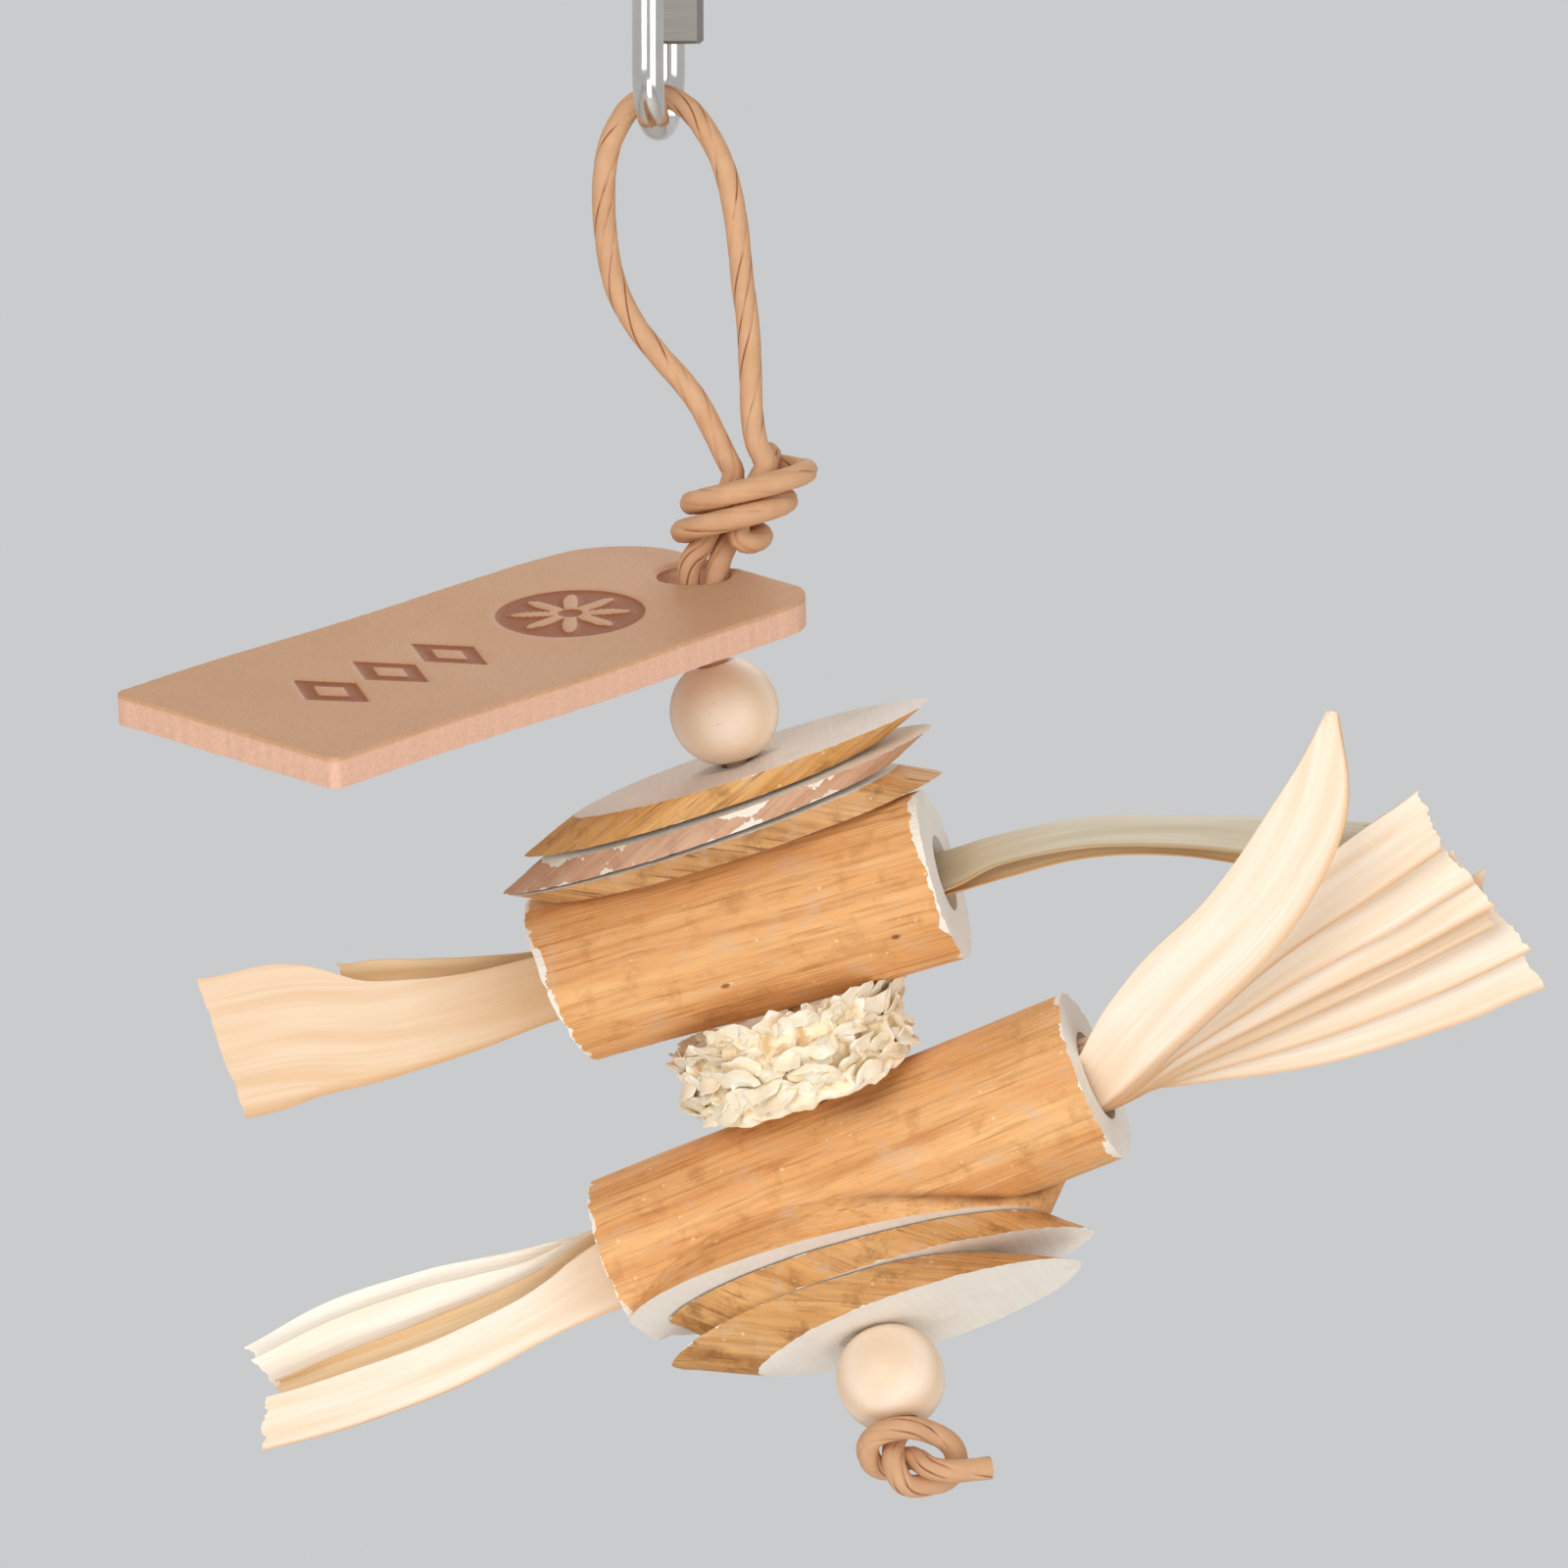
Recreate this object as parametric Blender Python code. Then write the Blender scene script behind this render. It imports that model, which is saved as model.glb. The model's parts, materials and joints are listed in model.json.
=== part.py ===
"""A hanging bird foraging toy: sticks, slices, a cob disc and husks threaded on a knotted paper cord.

Metres, +Z up. The origin is the hang point, inside the top of the quick link. +X is to the right of the
front view and +Y points away from it. The toy hangs at a lean, because the leather tag pulls it to one side.
"""

import math

import bmesh
import bpy
from mathutils import Matrix, Vector

for leftover in list(bpy.data.objects):
    bpy.data.objects.remove(leftover, do_unlink=True)

MM = 0.001

# Gap that touching pieces keep
SEAT = 0.3 * MM

# Quick link: an oval of steel rod, closed by a hexagonal sleeve nut on its rear leg
LINK_WIRE = 4.0 * MM
LINK_INSIDE_LENGTH = 33.0 * MM
LINK_INSIDE_WIDTH = 10.5 * MM
LINK_YAW = -10.0
LINK_GATE = 4.8 * MM
NUT_LENGTH = 12.5 * MM
NUT_FLATS = 8.0 * MM
NUT_BITE = 2.0 * MM
NUT_LIFT = 3.0 * MM
NUT_CHAMFER = 0.4 * MM

# Paper cord, in two lengths that part inside the lower stick, this share of the way to the next piece.
# Its mesh turns by no more than this at a point, and has a point at least this often.
CORD = 3.0 * MM
CORD_SPLIT = 0.08
CORD_POINT_TURN = 11.0
CORD_POINT_STEP = 9.0 * MM

# Top knot: two wraps round three strands, leaning with the cord
KNOT_CENTRE = Vector((10.6, 0.0, -82.2)) * MM
KNOT_LEAN = 0.5
KNOT_PITCH = 3.7 * MM
KNOT_SLOPE = 0.18
KNOT_PACK = 2.1 * MM
KNOT_WRAP_X = 5.4 * MM
KNOT_WRAP_GROWTH = 0.6 * MM
KNOT_WRAP_Y = 5.45 * MM

# Leather tag, hung by a hole near one end
TAG_LENGTH = 88.3 * MM
TAG_WIDTH = 40.0 * MM
TAG_THICKNESS = 4.0 * MM
TAG_HOLE = 9.6 * MM
TAG_HOLE_INSET = 7.2 * MM
TAG_ROUND_HOLE_END = 10.5 * MM
TAG_ROUND_NEAR_CORNER = 6.0 * MM
TAG_END_SKEW = 4.1 * MM
TAG_ROUND_FREE_END = 1.5 * MM
TAG_EDGE = 0.5 * MM
TAG_HOLE_CENTRE = Vector((4.4, 0.4, -91.8)) * MM
TAG_YAW = -135.5
TAG_PITCH = 10.7
TAG_ROLL = -8.3

# Threaded stack: where the string starts, and how it leans from the vertical
STRING_TOP = Vector((3.8, 0.0, -91.8)) * MM
STRING_LEAN = 14.1
STRING_TILT = 5.0
STRING_TO_BEAD = 18.4 * MM

# Wooden beads
BEAD_DIAMETER = 14.0 * MM
BEAD_HEIGHT = 12.4 * MM

# Oval slices cut slantwise from a stick. Slant is how far the lower face lies to the right of the upper one.
SLICE_A = {"length": 48.0 * MM, "width": 20.0 * MM, "thick": 3.0 * MM, "slant": -7.5 * MM, "off": -1.7 * MM}
SLICE_B = {"length": 53.0 * MM, "width": 21.0 * MM, "thick": 2.6 * MM, "slant": -5.8 * MM, "off": -3.9 * MM}
SLICE_C = {"length": 52.8 * MM, "width": 21.0 * MM, "thick": 2.7 * MM, "slant": 5.0 * MM, "off": -3.8 * MM}
SLICE_D = {"length": 51.0 * MM, "width": 20.0 * MM, "thick": 4.0 * MM, "slant": 5.0 * MM, "off": 1.9 * MM}
SLICE_E = {"length": 45.0 * MM, "width": 20.0 * MM, "thick": 5.0 * MM, "slant": 11.0 * MM, "off": 0.2 * MM}
SLICE_A_LEAN = 18.2
SLICE_B_LEAN = 19.0
SLICE_C_LEAN = 18.4
SLICE_D_YAW = -4.0
SLICE_E_YAW = -13.0
UPPER_TILT = 8.0

# Bark-covered sticks, drilled across for the cord and from each end for the husks
STICK_DIAMETER = 22.2 * MM
UPPER_LENGTH = 53.3 * MM
UPPER_LEAN = 18.0
UPPER_YAW = -9.0
UPPER_MOST_TURN = 40.0
UPPER_OFF = -4.1 * MM
UPPER_BORE = 10.0 * MM
UPPER_BORE_DEPTH = 17.0 * MM
LOWER_LENGTH = 67.0 * MM
LOWER_LEAN = 24.6
LOWER_TILT = 8.0
LOWER_YAW = -11.0
LOWER_MOST_TURN = -40.0
LOWER_OFF = 0.6 * MM
LOWER_BORE = 12.0 * MM
LOWER_BORE_DEPTH = 20.0 * MM

# Side branch of the lower stick, cut flat across. The lower slices lie against the cut.
FLAT_LEAN = 14.5
FLAT_TILT = -30.0
FLAT_DROP = 12.2 * MM
FLAT_DROP_LEAN = 5.0
FLAT_DROP_TILT = -13.0
BRANCH_LENGTH = 54.0 * MM
BRANCH_WIDTH = 27.0 * MM
BRANCH_ROOT_WIDTH = 20.0 * MM
BRANCH_HEIGHT = 9.0 * MM
BRANCH_LEFT = -4.5 * MM
BRANCH_SLANT = 8.5 * MM

# Slice of corn cob
COB_DIAMETER = 33.0 * MM
COB_THICKNESS = 9.3 * MM
COB_ROUND = 2.0 * MM
COB_LEAN = 19.5
COB_TILT = 0.5
COB_OFF = -1.9 * MM
COB_TO_STICK_LEAN = 19.5

# Corn husk strips
HUSK = 0.4 * MM


# Shared building blocks


def turn(lean, tilt=0.0, yaw=0.0):
    """A rotation: lean carries the foot to the right, tilt carries it away, yaw turns about its own Z."""
    rotation = Matrix.Rotation(math.radians(-lean), 4, "Y")
    rotation = rotation @ Matrix.Rotation(math.radians(tilt), 4, "X")
    return rotation @ Matrix.Rotation(math.radians(yaw), 4, "Z")


def up_of(rotation):
    return rotation.to_3x3() @ Vector((0, 0, 1))


def material(name, colour, roughness, metallic=0.0):
    made = bpy.data.materials.new(name)
    made.use_nodes = True
    shader = made.node_tree.nodes["Principled BSDF"]
    shader.inputs["Base Color"].default_value = (*colour, 1.0)
    shader.inputs["Roughness"].default_value = roughness
    shader.inputs["Metallic"].default_value = metallic
    return made


def add(name, data, finish, place=None, smooth_angle=35.0):
    """Links a mesh or curve into the scene at a place, with its material."""
    obj = bpy.data.objects.new(name, data)
    bpy.context.scene.collection.objects.link(obj)
    if place is not None:
        obj.matrix_world = place
    data.materials.append(finish)
    if obj.type == "MESH":
        data.shade_smooth()
        data.set_sharp_from_angle(angle=math.radians(smooth_angle))
    return obj


def mesh_of(name, shape):
    bmesh.ops.recalc_face_normals(shape, faces=shape.faces)
    data = bpy.data.meshes.new(name)
    shape.to_mesh(data)
    shape.free()
    return data


def cut(obj, cutter, operation="DIFFERENCE"):
    """Cuts or joins with a helper that stays out of the finished part."""
    cutter.hide_render = True
    cutter.display_type = "WIRE"
    boolean = obj.modifiers.new(cutter.name, "BOOLEAN")
    boolean.operation = operation
    boolean.object = cutter
    boolean.solver = "EXACT"


def rod(name, finish, start, end, diameter, sides=16):
    """A plain round rod between two points, used to drill holes."""
    axis = end - start
    shape = bmesh.new()
    bmesh.ops.create_cone(
        shape,
        cap_ends=True,
        segments=sides,
        radius1=diameter / 2,
        radius2=diameter / 2,
        depth=axis.length,
    )
    place = Matrix.Translation((start + end) / 2) @ axis.to_track_quat("Z", "Y").to_matrix().to_4x4()
    return add(name, mesh_of(name, shape), finish, place)


def turned(name, outline, steps):
    """A ring turned about Z from a closed outline of (radius, height) points."""
    shape = bmesh.new()
    points = [shape.verts.new((radius, 0, height)) for radius, height in outline]
    edges = [shape.edges.new((points[i - 1], points[i])) for i in range(len(points))]
    bmesh.ops.spin(
        shape,
        geom=points + edges,
        cent=(0, 0, 0),
        axis=(0, 0, 1),
        angle=2 * math.pi,
        steps=steps,
        use_merge=True,
    )
    bmesh.ops.remove_doubles(shape, verts=shape.verts, dist=0.001 * MM)
    return mesh_of(name, shape)


def arc(centre, radius, start, end, steps):
    """Points on an arc, in degrees, both ends included."""
    angles = [math.radians(start + (end - start) * i / steps) for i in range(steps + 1)]
    return [(centre[0] + radius * math.cos(a), centre[1] + radius * math.sin(a)) for a in angles]


def smooth_path(points, steps):
    """A smooth curve through the points, as a Catmull-Rom chain."""
    ends = [points[0] * 2 - points[1], *points, points[-1] * 2 - points[-2]]
    path = [points[0].copy()]
    for before, start, end, after in zip(ends, ends[1:], ends[2:], ends[3:]):
        for i in range(1, steps + 1):
            t = i / steps
            bend = (before * 2 - start * 5 + end * 4 - after) * t**2
            twist = (start * 3 - before - end * 3 + after) * t**3
            path.append((start * 2 + (end - before) * t + bend + twist) / 2)
    return path


def thinned(path, most_turn, most_step):
    """The path without points that turn it by little."""
    kept = [path[0]]
    for here, after in zip(path[1:], path[2:]):
        step = here - kept[-1]
        turned_by = step.angle(after - here) if step.length else 0.0
        if turned_by > most_turn or step.length > most_step:
            kept.append(here)
    return [*kept, path[-1]]


def tube(name, path, diameter, resolution, finish):
    """A round tube along the path, with closed ends."""
    data = bpy.data.curves.new(name, "CURVE")
    data.dimensions = "3D"
    data.bevel_depth = diameter / 2
    data.bevel_resolution = resolution
    data.use_fill_caps = True
    spline = data.splines.new("POLY")
    spline.points.add(len(path) - 1)
    for point, position in zip(spline.points, path):
        point.co = (*position, 1.0)
    return add(name, data, finish)


def hole_for_cord(length=0.0, angle=0.0):
    """Diameter of a hole that the cord passes at an angle, over the hole's length."""
    return CORD + 4 * SEAT + length * math.tan(angle)


def seat_gap(first, second, reach):
    """Gap on the axis that keeps two tilted faces SEAT apart out to a radius, however they turn."""
    return SEAT + reach * math.sin(up_of(first).angle(up_of(second)))


def stick_gap(stick, face, reach, most):
    """Gap on the axis that keeps a stick SEAT clear of a face out to a radius, through most degrees of turn."""
    up = up_of(face)
    turns = [Matrix.Rotation(math.radians(most * share / 8), 3, "Z") for share in range(9)]
    steepest = max(abs((stick.to_3x3() @ turned @ Vector((1, 0, 0))).dot(up)) for turned in turns)
    rolled = STICK_DIAMETER / 2 * (1 / math.cos(up_of(stick).angle(up)) - 1)
    return SEAT + reach * steepest + rolled


# Finishes

STEEL = material("polished_steel", (0.72, 0.71, 0.70), 0.12, 1.0)
NUT_STEEL = material("plated_steel", (0.60, 0.58, 0.56), 0.25, 1.0)
PAPER = material("twisted_kraft_paper", (0.62, 0.36, 0.18), 0.8)
LEATHER = material("vegetable_tanned_leather", (0.56, 0.33, 0.20), 0.6)
BEAD_WOOD = material("pale_turned_wood", (0.86, 0.66, 0.47), 0.5)
BARK = material("golden_bark", (0.62, 0.31, 0.10), 0.65)
COB = material("dried_corn_cob", (0.85, 0.72, 0.48), 0.85)
HUSK_LEAF = material("dried_corn_husk", (0.88, 0.74, 0.54), 0.75)
CUTTER = material("cutter", (0.8, 0.1, 0.1), 0.5)


# Quick link

LINK_TURN = Matrix.Rotation(math.radians(LINK_YAW), 4, "Z")
LINK_BEND = (LINK_INSIDE_WIDTH + LINK_WIRE) / 2
LEG_TOP = -LINK_INSIDE_WIDTH / 2
LEG_BOTTOM = LEG_TOP - (LINK_INSIDE_LENGTH - LINK_INSIDE_WIDTH)
GATE_BOTTOM = LEG_BOTTOM + NUT_LIFT + NUT_BITE
GATE_TOP = GATE_BOTTOM + LINK_GATE
NUT_BOTTOM = GATE_BOTTOM - NUT_BITE
BEND_STEPS = 10


def quick_link_body():
    """The rod, from the lower side of the gate round to its upper side."""
    lower = arc((0, LEG_BOTTOM), LINK_BEND, 0, -180, BEND_STEPS)
    upper = arc((0, LEG_TOP), LINK_BEND, 180, 0, BEND_STEPS)
    outline = [(LINK_BEND, GATE_BOTTOM), *lower, *upper, (LINK_BEND, GATE_TOP)]
    path = [LINK_TURN @ Vector((0, across, height)) for across, height in outline]
    return tube("quick_link_body", path, LINK_WIRE, 4, STEEL)


def quick_link_nut():
    """The sleeve nut, its origin on the axis of the rear leg."""
    shape = bmesh.new()
    radius = NUT_FLATS / math.sqrt(3)
    bmesh.ops.create_cone(
        shape, cap_ends=True, segments=6, radius1=radius, radius2=radius, depth=NUT_LENGTH
    )
    rims = [e for e in shape.edges if abs(e.verts[0].co.z - e.verts[1].co.z) < 0.01 * MM]
    bmesh.ops.bevel(shape, geom=rims, offset=NUT_CHAMFER, segments=1, affect="EDGES")
    centre = LINK_TURN @ Vector((0, LINK_BEND, NUT_BOTTOM + NUT_LENGTH / 2))
    place = Matrix.Translation(centre) @ LINK_TURN
    nut = add("quick_link_nut", mesh_of("quick_link_nut", shape), NUT_STEEL, place)
    reach = Vector((0, 0, NUT_LENGTH))
    cut(nut, rod("nut_bore", CUTTER, centre - reach, centre + reach, LINK_WIRE + 2 * SEAT, 24))
    return nut


# Leather tag


def leather_tag():
    """The tag lies along its own +X from the hole, with its origin in the middle of the hole."""
    left = TAG_LENGTH - TAG_HOLE_INSET
    right = -TAG_HOLE_INSET
    half = TAG_WIDTH / 2
    corners = (
        (left, half, TAG_ROUND_FREE_END, 0),
        (right + TAG_END_SKEW, half, TAG_ROUND_NEAR_CORNER, 90),
        (right, -half, TAG_ROUND_HOLE_END, 180),
        (left, -half, TAG_ROUND_FREE_END, 270),
    )
    shape = bmesh.new()
    outline = []
    for x, y, radius, start in corners:
        centre = (x - math.copysign(radius, x), y - math.copysign(radius, y))
        outline += arc(centre, radius, start, start + 90, 5)
    face = shape.faces.new([shape.verts.new((x, y, -TAG_THICKNESS)) for x, y in outline])
    raised = bmesh.ops.extrude_face_region(shape, geom=[face])["geom"]
    lifted = [v for v in raised if isinstance(v, bmesh.types.BMVert)]
    bmesh.ops.translate(shape, verts=lifted, vec=(0, 0, TAG_THICKNESS))
    rims = [e for e in shape.edges if abs(e.verts[0].co.z - e.verts[1].co.z) < 0.01 * MM]
    bmesh.ops.bevel(shape, geom=rims, offset=TAG_EDGE, segments=2, profile=0.5, affect="EDGES")
    place = Matrix.Translation(TAG_HOLE_CENTRE)
    place = place @ Matrix.Rotation(math.radians(TAG_YAW), 4, "Z")
    place = place @ Matrix.Rotation(math.radians(TAG_PITCH), 4, "Y")
    place = place @ Matrix.Rotation(math.radians(TAG_ROLL), 4, "X")
    tag = add("leather_tag", mesh_of("leather_tag", shape), LEATHER, place)
    above = place @ Vector((0, 0, TAG_THICKNESS))
    below = place @ Vector((0, 0, -2 * TAG_THICKNESS))
    cut(tag, rod("tag_hole", CUTTER, below, above, TAG_HOLE, 28))
    return tag


# Frames of the threaded pieces, worked out down the string

STRING_TURN = turn(STRING_LEAN, STRING_TILT)
DOWN = -up_of(STRING_TURN)
A_TURN = turn(SLICE_A_LEAN, UPPER_TILT)
B_TURN = turn(SLICE_B_LEAN, UPPER_TILT)
C_TURN = turn(SLICE_C_LEAN, UPPER_TILT)
UPPER_TURN = turn(UPPER_LEAN, UPPER_TILT, UPPER_YAW)
COB_TURN = turn(COB_LEAN, COB_TILT)
LOWER_TURN = turn(LOWER_LEAN, LOWER_TILT, LOWER_YAW)
FLAT_TURN = turn(FLAT_LEAN, FLAT_TILT)
D_TURN = turn(FLAT_LEAN, FLAT_TILT, SLICE_D_YAW)
E_TURN = turn(FLAT_LEAN, FLAT_TILT, SLICE_E_YAW)
FLAT_DOWN = -up_of(FLAT_TURN)


def slice_reach(sizes):
    """The furthest that a slice reaches from the cord."""
    return (sizes["length"] + abs(sizes["slant"])) / 2 + abs(sizes["off"])


def next_centre(centre, half, gap, next_half, along=DOWN):
    return centre + along * (half + gap + next_half)


STICK_RADIUS = STICK_DIAMETER / 2
TOP_BEAD_CENTRE = STRING_TOP + DOWN * STRING_TO_BEAD
A_CENTRE = next_centre(
    TOP_BEAD_CENTRE,
    BEAD_HEIGHT / 2,
    seat_gap(STRING_TURN, A_TURN, BEAD_DIAMETER / 4),
    SLICE_A["thick"] / 2,
)
B_CENTRE = next_centre(
    A_CENTRE,
    SLICE_A["thick"] / 2,
    seat_gap(A_TURN, B_TURN, slice_reach(SLICE_A)),
    SLICE_B["thick"] / 2,
)
C_CENTRE = next_centre(
    B_CENTRE,
    SLICE_B["thick"] / 2,
    seat_gap(B_TURN, C_TURN, slice_reach(SLICE_B)),
    SLICE_C["thick"] / 2,
)
UPPER_CENTRE = next_centre(
    C_CENTRE,
    SLICE_C["thick"] / 2,
    seat_gap(C_TURN, UPPER_TURN, UPPER_LENGTH / 2 + abs(UPPER_OFF)),
    STICK_RADIUS,
)
COB_CENTRE = next_centre(
    UPPER_CENTRE,
    STICK_RADIUS,
    stick_gap(UPPER_TURN, COB_TURN, COB_DIAMETER / 2 + abs(COB_OFF), UPPER_MOST_TURN),
    COB_THICKNESS / 2,
)
COB_DOWN = -up_of(turn(COB_TO_STICK_LEAN, STRING_TILT))
LOWER_CENTRE = next_centre(
    COB_CENTRE,
    COB_THICKNESS / 2,
    stick_gap(LOWER_TURN, COB_TURN, COB_DIAMETER / 2 + abs(COB_OFF), LOWER_MOST_TURN),
    STICK_RADIUS,
    COB_DOWN,
)
FLAT_CENTRE = LOWER_CENTRE - up_of(turn(FLAT_DROP_LEAN, FLAT_DROP_TILT)) * FLAT_DROP
D_CENTRE = next_centre(FLAT_CENTRE, 0.0, SEAT, SLICE_D["thick"] / 2, FLAT_DOWN)
E_CENTRE = next_centre(D_CENTRE, SLICE_D["thick"] / 2, SEAT, SLICE_E["thick"] / 2, FLAT_DOWN)
BOTTOM_BEAD_CENTRE = next_centre(E_CENTRE, SLICE_E["thick"] / 2, SEAT, BEAD_HEIGHT / 2, FLAT_DOWN)


# Beads, slices and cob


def bead(name, centre, rotation):
    """A ball turned flat at both ends of its bore."""
    bore = hole_for_cord() / 2
    flat = math.degrees(math.asin(BEAD_HEIGHT / BEAD_DIAMETER))
    side = arc((0, 0), BEAD_DIAMETER / 2, flat, -flat, 12)
    outline = [(bore, BEAD_HEIGHT / 2), *side, (bore, -BEAD_HEIGHT / 2)]
    place = Matrix.Translation(centre) @ rotation
    return add(name, turned(name, outline, 24), BEAD_WOOD, place)


def bark_slice(name, sizes, centre, rotation):
    """An oval slice whose lower face is slid along by the slant of the cut."""
    shape = bmesh.new()
    made = bmesh.ops.create_circle(shape, cap_ends=True, segments=32, radius=0.5)
    bmesh.ops.scale(shape, verts=made["verts"], vec=(sizes["length"], sizes["width"], 1.0))
    lower_at = Vector((sizes["off"] + sizes["slant"] / 2, 0, -sizes["thick"] / 2))
    bmesh.ops.translate(shape, verts=shape.verts, vec=lower_at)
    raised = bmesh.ops.extrude_face_region(shape, geom=shape.faces[:])["geom"]
    lifted = [v for v in raised if isinstance(v, bmesh.types.BMVert)]
    bmesh.ops.translate(shape, verts=lifted, vec=(-sizes["slant"], 0, sizes["thick"]))
    place = Matrix.Translation(centre) @ rotation
    piece = add(name, mesh_of(name, shape), BARK, place)
    reach = up_of(rotation) * sizes["thick"]
    cut(piece, rod(name + "_hole", CUTTER, centre - reach, centre + reach, hole_for_cord()))
    return piece


def corn_cob_slice():
    """A disc sawn from a cob, drilled beside its middle."""
    radius = COB_DIAMETER / 2
    half = COB_THICKNESS / 2
    shape = bmesh.new()
    bmesh.ops.create_cone(
        shape, cap_ends=True, segments=40, radius1=radius, radius2=radius, depth=COB_THICKNESS
    )
    rims = [e for e in shape.edges if abs(e.verts[0].co.z - e.verts[1].co.z) < 0.01 * MM]
    bmesh.ops.bevel(shape, geom=rims, offset=COB_ROUND, segments=3, profile=0.5, affect="EDGES")
    bmesh.ops.translate(shape, verts=shape.verts, vec=(COB_OFF, 0, 0))
    place = Matrix.Translation(COB_CENTRE) @ COB_TURN
    cob = add("corn_cob_slice", mesh_of("corn_cob_slice", shape), COB, place)
    reach = up_of(COB_TURN) * half * 2
    angle = max(up_of(COB_TURN).angle(-DOWN), up_of(COB_TURN).angle(-COB_DOWN))
    width = hole_for_cord(COB_THICKNESS, angle)
    cut(cob, rod("cob_hole", CUTTER, COB_CENTRE - reach, COB_CENTRE + reach, width))
    return cob


# Sticks


def stick(name, length, off, centre, rotation):
    """A round stick along X; its origin is where the cord crosses it."""
    shape = bmesh.new()
    bmesh.ops.create_cone(
        shape, cap_ends=True, segments=40, radius1=STICK_RADIUS, radius2=STICK_RADIUS, depth=length
    )
    along = Matrix.Translation((off, 0, 0)) @ Matrix.Rotation(math.radians(90), 4, "Y")
    bmesh.ops.transform(shape, matrix=along, verts=shape.verts)
    return add(name, mesh_of(name, shape), BARK, Matrix.Translation(centre) @ rotation)


def drill_ends(made, length, off, bore, depth):
    """Drills a stick from both ends for its husks."""
    for side, sign in (("left", -1), ("right", 1)):
        mouth = off + sign * length / 2
        inner = made.matrix_world @ Vector((mouth - sign * depth, 0, 0))
        outer = made.matrix_world @ Vector((mouth + sign * depth, 0, 0))
        cut(made, rod(f"{made.name}_{side}_bore", CUTTER, inner, outer, bore, 24))


def upper_stick():
    made = stick("upper_stick", UPPER_LENGTH, UPPER_OFF, UPPER_CENTRE, UPPER_TURN)
    drill_ends(made, UPPER_LENGTH, UPPER_OFF, UPPER_BORE, UPPER_BORE_DEPTH)
    width = hole_for_cord(STICK_DIAMETER, up_of(UPPER_TURN).angle(-DOWN))
    reach = up_of(UPPER_TURN) * STICK_DIAMETER
    cut(made, rod("upper_cord_hole", CUTTER, UPPER_CENTRE - reach, UPPER_CENTRE + reach, width))
    return made


def branch_stub():
    """The side branch, from its oval cut face up into the stick."""
    shape = bmesh.new()
    made = bmesh.ops.create_circle(shape, cap_ends=True, segments=40, radius=0.5)
    bmesh.ops.scale(shape, verts=made["verts"], vec=(BRANCH_LENGTH, BRANCH_WIDTH, 1.0))
    bmesh.ops.translate(shape, verts=shape.verts, vec=(BRANCH_LEFT, 0, -BRANCH_HEIGHT / 4))
    raised = bmesh.ops.extrude_face_region(shape, geom=shape.faces[:])["geom"]
    lifted = [v for v in raised if isinstance(v, bmesh.types.BMVert)]
    narrow = Vector((1.0, BRANCH_ROOT_WIDTH / BRANCH_WIDTH, 1.0))
    bmesh.ops.scale(shape, verts=lifted, vec=narrow)
    bmesh.ops.translate(shape, verts=lifted, vec=(BRANCH_SLANT, 0, BRANCH_HEIGHT * 5 / 4))
    place = Matrix.Translation(FLAT_CENTRE) @ FLAT_TURN
    return add("branch_stub", mesh_of("branch_stub", shape), CUTTER, place)


def lower_stick():
    made = stick("lower_stick", LOWER_LENGTH, LOWER_OFF, LOWER_CENTRE, LOWER_TURN)
    cut(made, branch_stub(), "UNION")
    drill_ends(made, LOWER_LENGTH, LOWER_OFF, LOWER_BORE, LOWER_BORE_DEPTH)
    shape = bmesh.new()
    bmesh.ops.create_cube(shape, size=2 * LOWER_LENGTH)
    flat_place = Matrix.Translation(FLAT_CENTRE + FLAT_DOWN * LOWER_LENGTH) @ FLAT_TURN
    cut(made, add("flat_cut", mesh_of("flat_cut", shape), CUTTER, flat_place))
    up = up_of(LOWER_TURN)
    width = hole_for_cord(STICK_DIAMETER, up.angle(-COB_DOWN))
    cut(made, rod("lower_cord_hole", CUTTER, LOWER_CENTRE, LOWER_CENTRE + up * STICK_DIAMETER, width))
    past = FLAT_CENTRE + (FLAT_CENTRE - LOWER_CENTRE) / 2
    cut(made, rod("lower_tail_hole", CUTTER, LOWER_CENTRE + up * CORD / 2, past, width + CORD / 2))
    return made


# Paper cord


def knot_point(x, y, z):
    """A point of the top knot, sheared so that the knot leans with the cord."""
    return KNOT_CENTRE + Vector((x + KNOT_LEAN * z, y, z))


def loop_route():
    """The doubled loop over the link, from the left strand in the knot round to the right one."""
    rest = LINK_INSIDE_LENGTH - SEAT - CORD / 2
    left = ((9.4, 79.3), (8.5, 77.1), (4.6, 69.6), (-0.1, 64.0), (-3.0, 60.3), (-5.3, 55.9), (-6.5, 50.9))
    shoulder = ((-7.0, 44.6), (-6.7, 39.6), (-5.6, 35.9), (-3.4, 32.6))
    over = ((3.4, 32.6), (6.1, 35.9), (8.0, 39.6), (9.1, 43.4), (9.9, 47.8))
    right = ((10.6, 54.6), (11.3, 60.3), (11.6, 65.9), (11.8, 71.5))
    points = [Vector((x, 0, -depth)) * MM for x, depth in left + shoulder]
    points.append(Vector((0, 0, -rest)))
    points += [Vector((x, 0, -depth)) * MM for x, depth in over + right]
    points.append(Vector((12.4, -0.8, -75.3)) * MM)
    return points


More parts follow.
